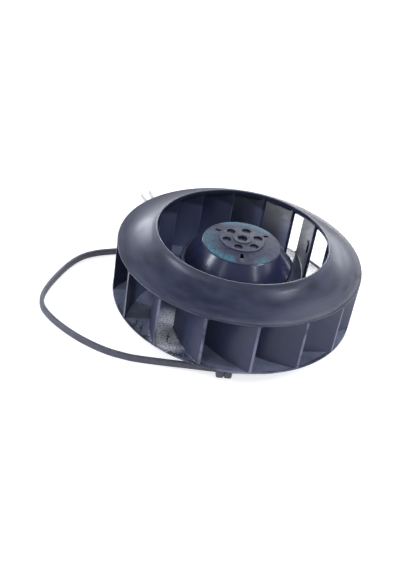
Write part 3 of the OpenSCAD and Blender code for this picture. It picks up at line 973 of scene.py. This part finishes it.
@dataclass
class InletShroud:
    """The trumpet over the blades: two arcs in section, with rounded edges at its lip and rim."""

    wheel_r: float = 110.0
    inlet_r: float = 76.0
    rim_z: float = 65.6
    lip_rise: float = 17.0
    wall: float = 1.8
    throat_r: float = 11.0
    rim_slope: float = 2.0
    lip_slope: float = 80.0
    throat: Vector = field(init=False)
    skirt: Vector = field(init=False)
    skirt_r: float = field(init=False)
    blend_slope: float = field(init=False)

    def __post_init__(self) -> None:
        """Works out the two arcs from the rim, the lip and their slopes."""
        lip_r = self.inlet_r + self.wall * math.sin(math.radians(self.lip_slope))
        lip = Vector((lip_r, self.rim_z + self.lip_rise))
        rim = Vector((self.wheel_r, self.rim_z))
        self.throat = lip + self.throat_r * self.normal(self.lip_slope)
        gap = rim - self.throat
        self.skirt_r = (self.throat_r ** 2 - gap.length_squared) / (
            2 * (gap.dot(self.normal(self.rim_slope)) + self.throat_r)
        )
        self.skirt = rim + self.skirt_r * self.normal(self.rim_slope)
        across = self.skirt - self.throat
        self.blend_slope = math.degrees(math.atan2(across.x, across.y))

    @staticmethod
    def normal(slope: float) -> Vector:
        """Gives the upward normal of a wall that falls outwards at a slope."""
        return Vector((math.sin(math.radians(slope)), math.cos(math.radians(slope))))

    def underside(self, radius: float) -> float:
        """Gives the height of the shroud's lower face at a radius.

        Args:
            radius: The distance from the shaft axis.

        Returns:
            The height above the mounting face.
        """
        join = self.throat.x - (self.throat_r + self.wall) * math.sin(math.radians(self.blend_slope))
        centre, reach = (self.skirt, self.skirt_r) if radius > join else (self.throat, self.throat_r)
        reach += self.wall
        across = min(abs(centre.x - radius), reach)
        return centre.y - math.sqrt(reach * reach - across * across)

    def build(self) -> None:
        """Draws the section with rounded ends, turns it round the axis and dresses it."""
        half = self.wall / 2
        rim = self.rim_slope + math.degrees(half / (self.skirt_r + half))
        lip = self.lip_slope - math.degrees(half / (self.throat_r + half))
        rim_middle = self.skirt - (self.skirt_r + half) * self.normal(rim)
        lip_middle = self.throat - (self.throat_r + half) * self.normal(lip)
        start = rim_middle + half * self.normal(rim)
        pen = Pen("trumpet_shroud", start)
        pen.arc(self.skirt, rim - self.blend_slope, 22)
        pen.arc(self.throat, self.blend_slope - lip, 16)
        pen.arc(lip_middle, 180, 8)
        pen.arc(self.throat, lip - self.blend_slope, 16)
        pen.arc(self.skirt, self.blend_slope - rim, 22)
        pen.arc(rim_middle, 180, 8)
        obj = pen.revolve()
        smooth(obj)
        dress(obj, WHEEL, "wheel_plastic", Body.ROTOR, "inlet_shroud")


@dataclass
class Backplate:
    """The flat disc under the blades, with the collar that grips the rotor cup."""

    wheel_r: float = 110.0
    z: float = 14.0
    thickness: float = 2.0
    edge: float = 0.6
    collar_in: float = 48.1
    collar_out: float = 52.0
    collar_top: float = 52.0
    fillet: float = 8.0
    ledge_in: float = 45.6
    ledge_top: float = 20.0

    def build(self) -> None:
        """Draws the section, turns it round the axis and dresses it."""
        top = self.z + self.thickness
        edge = self.edge
        pen = Pen("wheel_backplate", (self.ledge_in, self.z))
        pen.line((self.wheel_r - edge, self.z))
        pen.arc((self.wheel_r - edge, self.z + edge), 90, 4)
        pen.line((self.wheel_r, top - edge))
        pen.arc((self.wheel_r - edge, top - edge), 90, 4)
        pen.line((self.collar_out + self.fillet, top))
        pen.arc((self.collar_out + self.fillet, top + self.fillet), -90, 12)
        pen.line((self.collar_out, self.collar_top - edge))
        pen.arc((self.collar_out - edge, self.collar_top - edge), 90, 4)
        pen.line((self.collar_in + edge, self.collar_top))
        pen.arc((self.collar_in + edge, self.collar_top - edge), 90, 4)
        pen.line((self.collar_in, self.ledge_top), (self.ledge_in, self.ledge_top))
        pen.line((self.ledge_in, self.z))
        obj = pen.revolve()
        smooth(obj)
        dress(obj, WHEEL, "wheel_plastic", Body.ROTOR, "impeller_backplate")


@dataclass
class BladeRing:
    """The backward-curved blades: cambered, thinner towards the rim, with a weld flash at both seams."""

    shroud: InletShroud
    count: int = 16
    phase: float = 11.8
    wheel_r: float = 110.0
    leading_r: float = 78.0
    sweep: float = 25.6
    bow: float = 3.0
    leading_t: float = 3.0
    trailing_t: float = 1.4
    foot_z: float = 16.0
    reach: float = 4.0
    stations: int = 28
    flash: float = 0.9
    flash_levels: tuple[float, ...] = (0.0, 0.35, 1.0)
    mast: float = 100.0
    leading_round: float = 0.9
    trailing_round: float = 0.3
    end_band: float = 14.0
    leading_from: float = 0.9
    trailing_from: float = 0.98
    steep: float = 0.7
    sharp: float = 50.0
    slack: float = 0.5

    def camber(self) -> tuple[Vector, float, Vector]:
        """Works out the camber arc of the blade whose trailing edge is at angle zero.

        Returns:
            The arc's centre, the angle in degrees from leading to trailing edge, and the leading point.
        """
        leading = self.leading_r * direction(-self.sweep)
        trailing = Vector((self.wheel_r, 0))
        chord = trailing - leading
        radius = (chord.length_squared / 4 + self.bow ** 2) / (2 * self.bow)
        across = Vector((chord.y, -chord.x)).normalized()
        centre = (leading + trailing) / 2 - (radius - self.bow) * across
        swing = 2 * math.degrees(math.asin(chord.length / 2 / radius))
        return centre, swing, leading

    def model_blade(self) -> Object:
        """Models one blade: an upright line spun along the camber, thickened, trimmed and rounded.

        Returns:
            The blade whose trailing edge is at angle zero.
        """
        centre, swing, leading = self.camber()
        radius = (leading - centre).length
        extra = math.degrees(self.reach / radius)
        feet = [self.foot_z + level for level in self.flash_levels]
        heads = [self.mast - level for level in reversed(self.flash_levels)]
        middle = (self.foot_z + self.shroud.rim_z) / 2
        upright = [(leading.x, leading.y, z) for z in (*feet, middle, *heads)]
        pen = Pen("fan_blade", upright[0])
        pen.line(*upright[1:])
        obj = pen.spin((centre.x, centre.y, 0), swing + extra, self.stations)
        widest = self.leading_t + 2 * self.flash
        group = obj.vertex_groups.new(name="thickness")
        start = math.atan2(leading.y - centre.y, leading.x - centre.x)
        for vertex in obj.data.vertices:
            spot = vertex.co.to_2d() / MM - centre
            share = math.degrees((math.atan2(spot.y, spot.x) - start) % TURN) / swing
            share = share if share < 2 else 0
            height = vertex.co.z / MM
            depth = min(abs(height - self.foot_z), abs(self.mast - height))
            flare = 2 * self.flash * max(0, 1 - depth / self.flash_levels[-1]) ** 2
            wall = self.leading_t + (self.trailing_t - self.leading_t) * share + flare
            group.add([vertex.index], wall / widest, "REPLACE")
        apply_modifier(
            obj, "SOLIDIFY", thickness=widest * MM, offset=0, vertex_group="thickness",
            thickness_vertex_group=0,
        )
        obj.vertex_groups.clear()
        self.trim(obj)
        return obj

    def trim(self, obj: Object) -> None:
        """Fits the blade under the shroud, cuts it at the wheel's edge and rounds its edges.

        Args:
            obj: The thickened blade, whose upper edge still stands at the mast's height.
        """
        upper = (self.mast - self.flash_levels[-1] - self.slack) * MM
        for vertex in obj.data.vertices:
            if vertex.co.z > upper:
                vertex.co.z += (self.shroud.underside(vertex.co.to_2d().length / MM) - self.mast) * MM
        edit(obj)
        bpy.ops.mesh.bisect(
            plane_co=(self.wheel_r * MM, 0, 0), plane_no=(1, 0, 0), use_fill=True, clear_outer=True,
            threshold=MERGE_DISTANCE,
        )
        face_outwards()
        ends = (
            (self.leading_from * self.leading_r, self.leading_round),
            (self.trailing_from * self.wheel_r, self.trailing_round),
        )
        for lowest, width in ends:
            pick(obj, Element.EDGE, lambda edge: self.is_end_edge(edge, lowest))
            bpy.ops.mesh.bevel(offset=width * MM, segments=3, affect="EDGES")
        smooth(obj)

    def is_end_edge(self, edge: bmesh.types.BMEdge, nearest: float) -> bool:
        """Says whether an edge is an upright corner of one end of the blade.

        Args:
            edge: The edge.
            nearest: The least radius at that end; the other end lies well away from it.

        Returns:
            True for the sharp upright edges of that end.
        """
        low, high = (vertex.co for vertex in edge.verts)
        radius = (low.to_2d().length + high.to_2d().length) / 2 / MM
        upright = abs(high.z - low.z) > self.steep * (high - low).length
        sharp = len(edge.link_faces) == 2 and edge.calc_face_angle() > math.radians(self.sharp)
        return upright and sharp and nearest <= radius < nearest + self.end_band

    def build(self) -> None:
        """Copies the modelled blade round the wheel, each copy with its own mesh, and dresses the copies."""
        pattern = self.model_blade()
        for number, degrees in enumerate(spread(self.count, self.phase), 1):
            select_only(pattern)
            bpy.ops.object.duplicate()
            obj = bpy.context.object
            obj.name = f"fan_blade_{number:02d}"
            place(obj, Matrix.Rotation(math.radians(degrees), 3, "Z"), (0, 0, 0))
            dress(obj, WHEEL, "wheel_plastic", Body.ROTOR, f"blade_{number:02d}")
        bpy.data.objects.remove(pattern)


@dataclass
class BalanceWeight:
    """The small steel plate that is stuck to the hollow face of one blade."""

    blades: BladeRing
    blade: int = 2
    share: float = 0.4
    z: float = 42.5
    length: float = 8.0
    thickness: float = 1.2
    height: float = 10.0
    gap: float = 0.05
    edge: float = 0.3
    rim: float = 0.8
    rim_from: float = 0.7

    def build(self) -> None:
        """Extrudes the plate with a turned-in rim, turns it to the blade's face and dresses it."""
        ring = self.blades
        centre, swing, leading = ring.camber()
        wall = ring.leading_t + (ring.trailing_t - ring.leading_t) * self.share
        face = (leading - centre).length - wall / 2 - self.gap
        start = math.atan2(leading.y - centre.y, leading.x - centre.x)
        turn = start + math.radians(swing * self.share)
        reach = math.sqrt(face * face - self.length ** 2 / 4)
        size = (self.length, self.height)
        rim = (self.length - 2 * self.rim, self.height - 2 * self.rim)
        bar = Block("balance_plate", reach, size)
        bar.grow((reach - self.rim_from * self.thickness, *size), (reach - self.thickness, *rim))
        obj = bar.close(self.edge)
        whole = Matrix.Rotation(math.radians(spread(ring.count, ring.phase)[self.blade]), 3, "Z")
        place(obj, Matrix.Rotation(turn, 3, "Z"), (centre.x, centre.y, self.z))
        place(obj, whole, (0, 0, 0))
        dress(obj, SPRING, "spring_steel", Body.ROTOR, "balance_weight")


# Rotor


@dataclass
class RotorCup:
    """The motor's turning cup: straight wall, conical flank, shallow crown, plateau and boss."""

    radius: float = 48.0
    sheet: float = 1.6
    foot_z: float = 20.0
    wall_top: float = 54.0
    flank_h: float = 18.7
    knee_r: float = 8.0
    brow_r: float = 3.0
    crown_r: float = 35.0
    crown_rise: float = 2.9
    plateau_r: float = 20.2
    plateau_step: float = 1.0
    boss_r: float = 8.5
    boss_step: float = 0.8
    centre_hole_r: float = 4.4
    vent_count: int = 6
    vent_r: float = 4.0
    vent_circle_r: float = 14.5
    vent_phase: float = 19.0
    slot_count: int = 3
    slot_l: float = 5.0
    slot_w: float = 2.8
    slot_circle_r: float = 25.0
    slot_phase: float = 33.0
    round_off: float = 0.5
    punch: float = 10.0
    punch_step: float = 2.2
    punch_round: float = 0.2
    burr: float = 0.25
    burr_angle: float = 65.0

    @property
    def crown_top(self) -> float:
        """The height of the crown at the plateau's foot."""
        return self.wall_top + self.flank_h + self.crown_rise

    @property
    def faces(self) -> tuple[float, float]:
        """The angles above the level, in degrees, at which the flank and the crown face."""
        flank = math.degrees(math.atan2(self.radius - self.crown_r, self.flank_h))
        return flank, math.degrees(math.atan2(self.crown_r - self.plateau_r, self.crown_rise))

    @staticmethod
    def bend_centre(corner: Vector, radius: float, first: float, second: float) -> Vector:
        """Works out the centre of the bend that rounds a corner.

        Args:
            corner: The corner's radius and height.
            radius: The bend's radius.
            first: The angle at which the face before the corner faces, in degrees.
            second: The same for the face after it.

        Returns:
            The centre's radius and height.
        """
        a, b = direction(first), direction(second)
        return corner - radius * (a + b) / (1 + a.dot(b))

    def draw(self) -> Object:
        """Draws the section and turns it round the axis.

        Returns:
            The cup without its openings.
        """
        flank, crown_face = self.faces
        knee = self.bend_centre(Vector((self.radius, self.wall_top)), self.knee_r, 0, flank)
        brow_corner = Vector((self.crown_r, self.wall_top + self.flank_h))
        brow = self.bend_centre(brow_corner, self.brow_r, flank, crown_face)
        lean, rise = direction(flank), direction(crown_face)
        crown, plateau = self.crown_top, self.crown_top + self.plateau_step
        boss = plateau + self.boss_step
        edge, sheet = self.round_off, self.sheet
        inner = self.radius - sheet
        pen = Pen("rotor_shell", (inner, self.foot_z))
        pen.line((self.radius - edge, self.foot_z))
        pen.arc((self.radius - edge, self.foot_z + edge), 90, 3)
        pen.line((self.radius, knee.y))
        pen.arc(knee, flank, 8)
        flank_end = brow + self.brow_r * lean
        pen.line(flank_end)
        pen.arc(brow, crown_face - flank, 10)
        pen.line((self.plateau_r + edge, crown - edge * rise.x / rise.y))
        pen.line((self.plateau_r + edge / 4, crown + edge / 4), (self.plateau_r, plateau - edge))
        pen.arc((self.plateau_r - edge, plateau - edge), 90, 4)
        pen.line((self.boss_r + edge / 2, plateau), (self.boss_r, plateau + edge / 4))
        pen.line((self.boss_r, boss - edge))
        pen.arc((self.boss_r - edge, boss - edge), 90, 4)
        pen.line((self.centre_hole_r + edge, boss))
        pen.arc((self.centre_hole_r + edge, boss - edge), 90, 4)
        pen.line((self.centre_hole_r, plateau - sheet), (self.plateau_r - sheet, plateau - sheet))
        under = crown - sheet * (1 - rise.x) / rise.y
        crown_start = brow + (self.brow_r - sheet) * rise
        pen.line((self.plateau_r - sheet, under), crown_start)
        pen.arc(brow, flank - crown_face, 8)
        knee_end = knee + (self.knee_r - sheet) * lean
        pen.line(knee_end)
        pen.arc(knee, -flank, 8)
        pen.line((inner, self.foot_z))
        return pen.revolve()

    def punch_out(self, obj: Object, kind: Opening, circle: float, degrees: float) -> None:
        """Cuts one vent or slot through the crown.

        Args:
            obj: The cup.
            kind: A round vent, or a slot that lies along the radius.
            circle: The radius of the circle that the opening's middle is on, in millimetres.
            degrees: Its angle round the axis.
        """
        deselect_all()
        if kind is Opening.VENT:
            bpy.ops.mesh.primitive_cylinder_add(vertices=48, radius=self.vent_r * MM, depth=self.punch * MM)
        else:
            half, size = self.punch / 2, (self.slot_w, self.slot_l)
            slot = Block("slot_punch", -half, size)
            slot.grow((self.punch_step, *size), (half, 3 * self.slot_w, 2 * self.slot_l))
            place(slot.close(self.punch_round), Matrix.Rotation(math.pi / 2, 3, "Y"), (0, 0, 0))
        tool = bpy.context.object
        place(tool, Matrix.Identity(3), (circle, 0, self.crown_top + self.plateau_step))
        place(tool, Matrix.Rotation(math.radians(degrees), 3, "Z"), (0, 0, 0))
        apply_modifier(obj, "BOOLEAN", operation="DIFFERENCE", object=tool, solver="EXACT")
        bpy.data.objects.remove(tool)

    def build(self) -> None:
        """Cuts the vents and slots, rounds their rims and dresses the cup."""
        obj = self.draw()
        for degrees in spread(self.vent_count, self.vent_phase):
            self.punch_out(obj, Opening.VENT, self.vent_circle_r, degrees)
        for degrees in spread(self.slot_count, self.slot_phase):
            self.punch_out(obj, Opening.SLOT, self.slot_circle_r, degrees)
        apply_modifier(
            obj, "BEVEL", width=self.burr * MM, segments=2, limit_method="ANGLE",
            angle_limit=math.radians(self.burr_angle),
        )
        smooth(obj)
        dress(obj, ENAMEL, "rotor_enamel", Body.ROTOR, "rotor_cup")


@dataclass
class MotorSolids:
    """The motor's inner parts, which keep their solids and get a finish each."""

    finishes: dict[str, Finish] = field(default_factory=lambda: {
        "rotor_core": LAMINATIONS, "stator_core": LAMINATIONS, "upper_cage_ring": CAGE,
        "lower_cage_ring": CAGE, "rotor_hub": PHOSPHATED, "rotor_shaft": TURNED, "bearing_cap": TURNED,
        "shaft_circlip": SPRING, "preload_washer": SPRING, "upper_bearing_inner_ring": GROUND,
        "lower_bearing_inner_ring": GROUND, "upper_bearing_outer_ring": GROUND,
        "lower_bearing_outer_ring": GROUND, "upper_bearing_balls": GROUND, "lower_bearing_balls": GROUND,
        "stator_flange": CASTING, "upper_insulator": INSULATOR, "lower_insulator": INSULATOR,
        "stator_winding": COPPER,
    })

    def build(self) -> None:
        """Gives each solid its finish."""
        for name, finish in self.finishes.items():
            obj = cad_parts[name]
            if not obj.material_slots:
                obj.data.materials.append(None)
            for slot in obj.material_slots:
                slot.material = finish.material()
            LOG.info("%s: kept in %s", name, finish.name)


# Cord


@dataclass
class CordGrommet:
    """The strain-relief grommet on the cord: two rounded jaws with a narrow groove between them."""

    right: Point = (10, -97.3, 7.4)
    left: Point = (-6.6, -99.3, 7.4)
    length: float = 13.8
    width: float = 8.4
    height: float = 12.2
    groove: float = 1.6
    groove_depth: float = 1.2
    rounding: float = 1.9

    def build(self) -> Object:
        """Rounds a block, presses the groove into it, turns it along the cord and dresses it.

        Returns:
            The grommet.
        """
        half, section = self.length / 2, (self.width, self.height)
        obj = Block("strain_relief", -half, section).grow((half, *section)).close(self.rounding)
        edit(obj)
        for side in (-1, 1):
            bpy.ops.mesh.select_all(action="SELECT")
            bpy.ops.mesh.bisect(plane_co=(side * self.groove / 2 * MM, 0, 0), plane_no=(1, 0, 0))
        pick(obj, Element.FACE, lambda face: abs(face.calc_center_median().x) < self.groove / 2 * MM)
        bpy.ops.mesh.extrude_region_shrink_fatten(
            TRANSFORM_OT_shrink_fatten={"value": -self.groove_depth * MM}
        )
        smooth(obj)
        right, left = Vector(self.right), Vector(self.left)
        along = right - left
        middle = (right + left) / 2
        turn = Matrix.Rotation(math.atan2(along.y, along.x), 3, "Z")
        place(obj, turn, (middle.x, middle.y, self.height / 2))
        return dress(obj, RUBBER, "gland_rubber", Body.STATOR, "cord_grommet")


@dataclass
class CableGland:
    """The rubber gland in the flange: shank, collar and a ribbed taper down to the cord."""

    exit: Point = (30, -42, 5)
    flange_r: float = 42.0
    boss: float = 9.0
    tail: float = 2.0
    fit: float = 0.1
    shank: tuple[float, float] = (6.4, 8.4)
    collar: tuple[float, float] = (10.0, 9.6)
    collar_t: float = 3.0
    tip: tuple[float, float] = (5.8, 7.8)
    ribs: int = 3
    rib: float = 0.5
    groove_share: float = 0.45
    rounding: float = 0.25

    def build(self) -> Object:
        """Extrudes the gland section by section, turns it to the cord's exit and dresses it.

        Returns:
            The gland.
        """
        tip_x = Vector(self.exit).to_2d().length
        collar_x = self.flange_r + self.fit
        taper_x = collar_x + self.collar_t
        bar = Block("ribbed_gland", self.flange_r - self.boss - self.tail, self.shank)
        bar.grow((collar_x, *self.shank), (collar_x, *self.collar), (taper_x, *self.collar))
        pitch = (tip_x - taper_x) / self.ribs
        for index in range(self.ribs):
            share = (index + 0.5) / self.ribs
            width, height = (a + (b - a) * share for a, b in zip(self.shank, self.tip))
            near, far = taper_x + pitch * index, taper_x + pitch * (index + 1)
            groove = (width - self.rib, height - self.rib)
            step = near + self.groove_share * pitch
            bar.grow((near, *groove), (step, *groove), (step, width, height), (far, width, height))
        obj = bar.close(self.rounding)
        place(obj, Matrix.Rotation(math.atan2(self.exit[1], self.exit[0]), 3, "Z"), (0, 0, self.exit[2]))
        return dress(obj, RUBBER, "gland_rubber", Body.STATOR, "cable_gland")


@dataclass
class CoreEnd:
    """One bared core at the cord's far end, with the pale sleeve that is crimped over its strands."""

    side: Side
    route: tuple[Point, ...]
    tip: Point
    strands: float
    core_r: float = 1.2
    sleeve_r: float = 1.6
    mouth_r: float = 1.25
    strand_r: float = 0.9

    def upright(self, name: str, profile: Sequence[tuple[float, float]]) -> Object:
        """Turns a profile into a round bar and lays it along the sleeve.

        Args:
            name: The name of the new object.
            profile: Its radii and places along the sleeve, from end to end, in millimetres.

        Returns:
            The bar.
        """
        obj = Pen(name, profile[0]).line(*profile[1:]).revolve(24)
        smooth(obj, 35)
        start = Vector(self.route[-1])
        turn = (Vector(self.tip) - start).to_track_quat("Z", "Y").to_matrix()
        place(obj, turn, start)
        return obj

    def build(self) -> list[Object]:
        """Sweeps the core, turns the sleeve and the strands, and dresses them.

        Returns:
            The core, the sleeve and the strands.
        """
        side = self.side.value
        ring = [
            (self.core_r * math.cos(TURN * k / 16), self.core_r * math.sin(TURN * k / 16)) for k in range(16)
        ]
        core = sweep(f"{side}_core", smooth_path(self.route, 6), ring)
        dress(core, CORE_FINISH[self.side], f"{side}_core_jacket", Body.STATOR, f"{side}_core_tail")
        length = (Vector(self.tip) - Vector(self.route[-1])).length
        end = length - self.strands
        wide, mouth, strand = self.sleeve_r, self.mouth_r, self.strand_r
        sleeve = self.upright(f"{side}_sleeve", [
            (0, 0), (mouth, 0), (wide - 0.15, 0.2), (wide, 0.6), (wide, 0.5 * end), (wide - 0.1, 0.52 * end),
            (wide - 0.1, 0.58 * end), (wide, 0.6 * end), (wide, end - 0.4), (wide - 0.12, end - 0.1),
            (wide - 0.4, end), (strand, end), (strand, end - 1), (0, end - 1),
        ])
        dress(sleeve, SLEEVE, "end_sleeve", Body.STATOR, f"{side}_end_sleeve")
        strands = self.upright(f"{side}_strands", [
            (0, end - 1.2), (strand - 0.05, end - 1.2), (strand - 0.05, length - 0.3), (strand - 0.3, length),
            (0, length),
        ])
        dress(strands, TINNED, "end_sleeve", Body.STATOR, f"{side}_end_sleeve")
        return [core, sleeve, strands]


@dataclass
class MotorCord:
    """The flat twin cord, standing on its edge, from its gland to its two sleeved cores."""

    thickness: float = 4.2
    height: float = 6.6
    lobe: float = 2.2
    pinch: float = 0.14
    pinch_power: int = 6
    route: tuple[Point, ...] = (
        (30, -42, 5), (35, -49, 5), (39.6, -60.5, 4.5), (39.4, -73, 4.2), (34, -84.8, 5.2), (23.9, -93.1, 7),
        (10, -97.3, 7.4), (-6.6, -99.3, 7.4), (-27, -99, 5.9), (-48, -98.7, 4.3), (-69, -98.8, 3.4),
        (-82, -98.4, 3.4), (-101, -94.8, 3.4), (-123, -85.5, 3.4), (-143, -72.5, 3.4), (-157, -60, 3.4),
        (-165.5, -48, 3.4), (-168.5, -34, 3.4), (-167, -17, 3.4), (-162, 4, 3.4), (-155, 24, 3.4),
        (-146, 39, 3.4), (-134, 49, 3.4), (-118, 57, 3.4), (-101, 65, 3.4), (-87, 76, 3.4), (-78, 91, 3.4),
        (-74.5, 108, 3.4), (-76, 124, 3.4), (-82, 138, 3.4), (-88, 148, 3.4),
    )
    ends: tuple[CoreEnd, ...] = (
        CoreEnd(
            Side.LEFT, ((-88, 148, 2.1), (-91, 153, 1.8), (-96.8, 156.4, 1.8), (-101, 163.6, 1.8)),
            (-110, 179, 1.8), 0.3,
        ),
        CoreEnd(
            Side.RIGHT, ((-88, 148, 4.7), (-91, 153, 4.4), (-92.6, 165.7, 2.2), (-95.5, 172.5, 1.8)),
            (-103, 190, 1.8), 2.2,
        ),
    )

    def section(self, points: int = 32) -> list[tuple[float, float]]:
        """Works out the flat twin's section: two round cores one above the other, with a groove between.

        Args:
            points: The number of points round the section.

        Returns:
            The section's points as sideways and upward offsets, in millimetres.
        """
        core = self.thickness / 2
        offset = self.height / 2 - core
        outline = []
        for index in range(points):
            angle = TURN * (index + 0.5) / points
            across, rise = math.cos(angle), math.sin(angle)
            centre = math.copysign(offset, rise) * min(1, abs(rise) * self.lobe)
            waist = 1 - self.pinch * (1 - abs(rise)) ** self.pinch_power
            outline.append((core * across * waist, centre + core * rise))
        return outline

    def build(self) -> None:
        path = smooth_path(self.route, 8)
        obj = sweep("twin_flex", path, self.section())
        dress(obj, JACKET, "cord_jacket", Body.STATOR, "motor_cord")
        pieces = [CableGland().build(), CordGrommet().build()]
        for end in self.ends:
            pieces += end.build()


# Studio


@dataclass(frozen=True)
class Softbox:
    """One soft lamp that faces the wheel, by its direction from +Y towards +X and its height."""

    name: str
    azimuth: float
    elevation: float
    distance: float
    width: float
    height: float
    power: float
    colour: str = "#e8eefc"
    aim_z: float = 50.0

    def hang(self) -> None:
        """Adds the lamp to the scene."""
        data = bpy.data.lights.new(self.name, "AREA")
        data.shape = "RECTANGLE"
        data.size = self.width
        data.size_y = self.height
        data.energy = self.power
        data.color = linear(self.colour)[:3]
        obj = add_object(self.name, data)
        turn, lift = math.radians(self.azimuth), math.radians(self.elevation)
        away = Vector((math.sin(turn) * math.cos(lift), math.cos(turn) * math.cos(lift), math.sin(lift)))
        facing = away.to_track_quat("Z", "Y").to_matrix().to_4x4()
        obj.matrix_world = Matrix.Translation(scaled((0, 0, self.aim_z)) + away * self.distance) @ facing


@dataclass
class Studio:
    """The pale floor, the soft lamps and the camera."""

    lens_px: float = 900.0
    image_px: tuple[int, int] = (400, 570)
    sensor: float = 36.0
    clip: tuple[float, float] = (0.01, 20.0)
    pitch: float = 34.78
    roll: float = 9.55
    eye: Point = (-30.3, -681.5, 493.2)
    floor_colour: str = "#c8c8ca"
    floor_size: float = 12.0
    floor_glow: float = 0.7
    sky: float = 0.68
    sky_colour: str = "#eceeff"
    ceiling: float = 0.1
    ceiling_from: float = 0.3
    ceiling_full: float = 0.8
    lamps: tuple[Softbox, ...] = (
        Softbox("left_softbox", -104, 25, 1.2, 0.17, 0.6, 8.8),
        Softbox("right_softbox", 107, 46, 1.2, 0.15, 0.38, 6.1),
        Softbox("right_window", 98, 20, 1.2, 0.3, 0.3, 0.8),
        Softbox("back_left_softbox", -36, 12, 1.4, 0.5, 0.5, 5.9),
        Softbox("back_right_softbox", 31, 11, 1.4, 0.45, 0.45, 2.3),
        Softbox("back_softbox", 9, 29.5, 1.5, 0.35, 0.35, 9.5, "#ffffff"),
        Softbox("eye_softbox", 45, 53, 1.4, 0.4, 0.4, 3.0),
        Softbox("front_left_strip", -143, 32, 1.3, 0.06, 0.5, 0.9),
        Softbox("front_right_strip", 133, 34, 1.3, 0.06, 0.5, 2.1),
    )

    def camera(self) -> None:
        """Sets the camera at the photograph's viewing angle."""
        pitch, roll = math.radians(self.pitch), math.radians(self.roll)
        ahead = Vector((0, math.cos(pitch), -math.sin(pitch)))
        right = Vector((1, 0, 0))
        down = ahead.cross(right)
        image_x = math.cos(roll) * right - math.sin(roll) * down
        image_y = math.sin(roll) * right + math.cos(roll) * down
        data = bpy.data.cameras.new("photo_camera")
        data.sensor_width = self.sensor
        data.lens = self.lens_px / self.image_px[1] * self.sensor
        data.clip_start, data.clip_end = self.clip
        obj = add_object("photo_camera", data)
        turn = Matrix((image_x, -image_y, -ahead)).transposed()
        obj.matrix_world = Matrix.Translation(scaled(self.eye)) @ turn.to_4x4()
        bpy.context.scene.camera = obj

    @staticmethod
    def seen(add: Adder) -> Node:
        """Adds the nodes that are one for the rays that look, reflect or pass through.

        Args:
            add: Adds a node to the tree of the floor or the world.

        Returns:
            One for camera, glossy and transmission rays, and nought for the rays that light the object.
        """
        path = add("LightPath").outputs
        mirrored = add("Math", {0: path["Is Camera Ray"], 1: path["Is Glossy Ray"]}, operation="MAXIMUM")
        return add("Math", {0: mirrored, 1: path["Is Transmission Ray"]}, operation="MAXIMUM")

    def floor(self) -> None:
        """Lays a wide pale floor that is white to the camera and still takes the object's shadow."""
        deselect_all()
        bpy.ops.mesh.primitive_plane_add(size=self.floor_size)
        obj = bpy.context.object
        obj.name = "floor"
        material = bpy.data.materials.new("pale_floor")
        add = node_adder(material)
        matt = add("BsdfDiffuse", {"Color": linear(self.floor_colour)})
        glow = add("Emission", {"Color": linear("#ffffff"), "Strength": self.floor_glow})
        shown = add("AddShader", {0: matt, 1: glow})
        surface = add("MixShader", {0: self.seen(add), 1: matt, 2: shown})
        add("OutputMaterial", {"Surface": surface})
        obj.data.materials.append(material)

    def world(self) -> None:
        """Fills the surroundings with a dim soft light: white walls to the camera, under a dark ceiling."""
        world = bpy.data.worlds.new("studio")
        bpy.context.scene.world = world
        add = node_adder(world)
        soft = add("Background", {"Color": linear(self.sky_colour), "Strength": self.sky})
        upward = add("SeparateXYZ", {0: add("TexCoord")}).outputs["Z"]
        wall = add("MapRange", {
            VALUE: upward, LOW: self.ceiling_from, HIGH: self.ceiling_full, TO_LOW: 1.0,
            TO_HIGH: self.ceiling,
        })
        white = add("Background", {"Color": linear("#ffffff"), "Strength": wall})
        surface = add("MixShader", {0: self.seen(add), 1: soft, 2: white})
        add("OutputWorld", {"Surface": surface})

    def build(self) -> None:
        """Sets up floor, world, lamps and camera."""
        bpy.context.scene.view_settings.view_transform = "Standard"
        self.camera()
        self.floor()
        self.world()
        for lamp in self.lamps:
            lamp.hang()


def main() -> None:
    """Builds the studio and every sub-assembly in order."""
    logging.basicConfig(level=logging.INFO, format="%(message)s")
    Studio().build()
    MotorCord().build()
    MotorSolids().build()
    shroud = InletShroud()
    shroud.build()
    Backplate().build()
    blades = BladeRing(shroud)
    blades.build()
    BalanceWeight(blades).build()
    RotorCup().build()
    deselect_all()


if __name__ == "__main__":
    main()
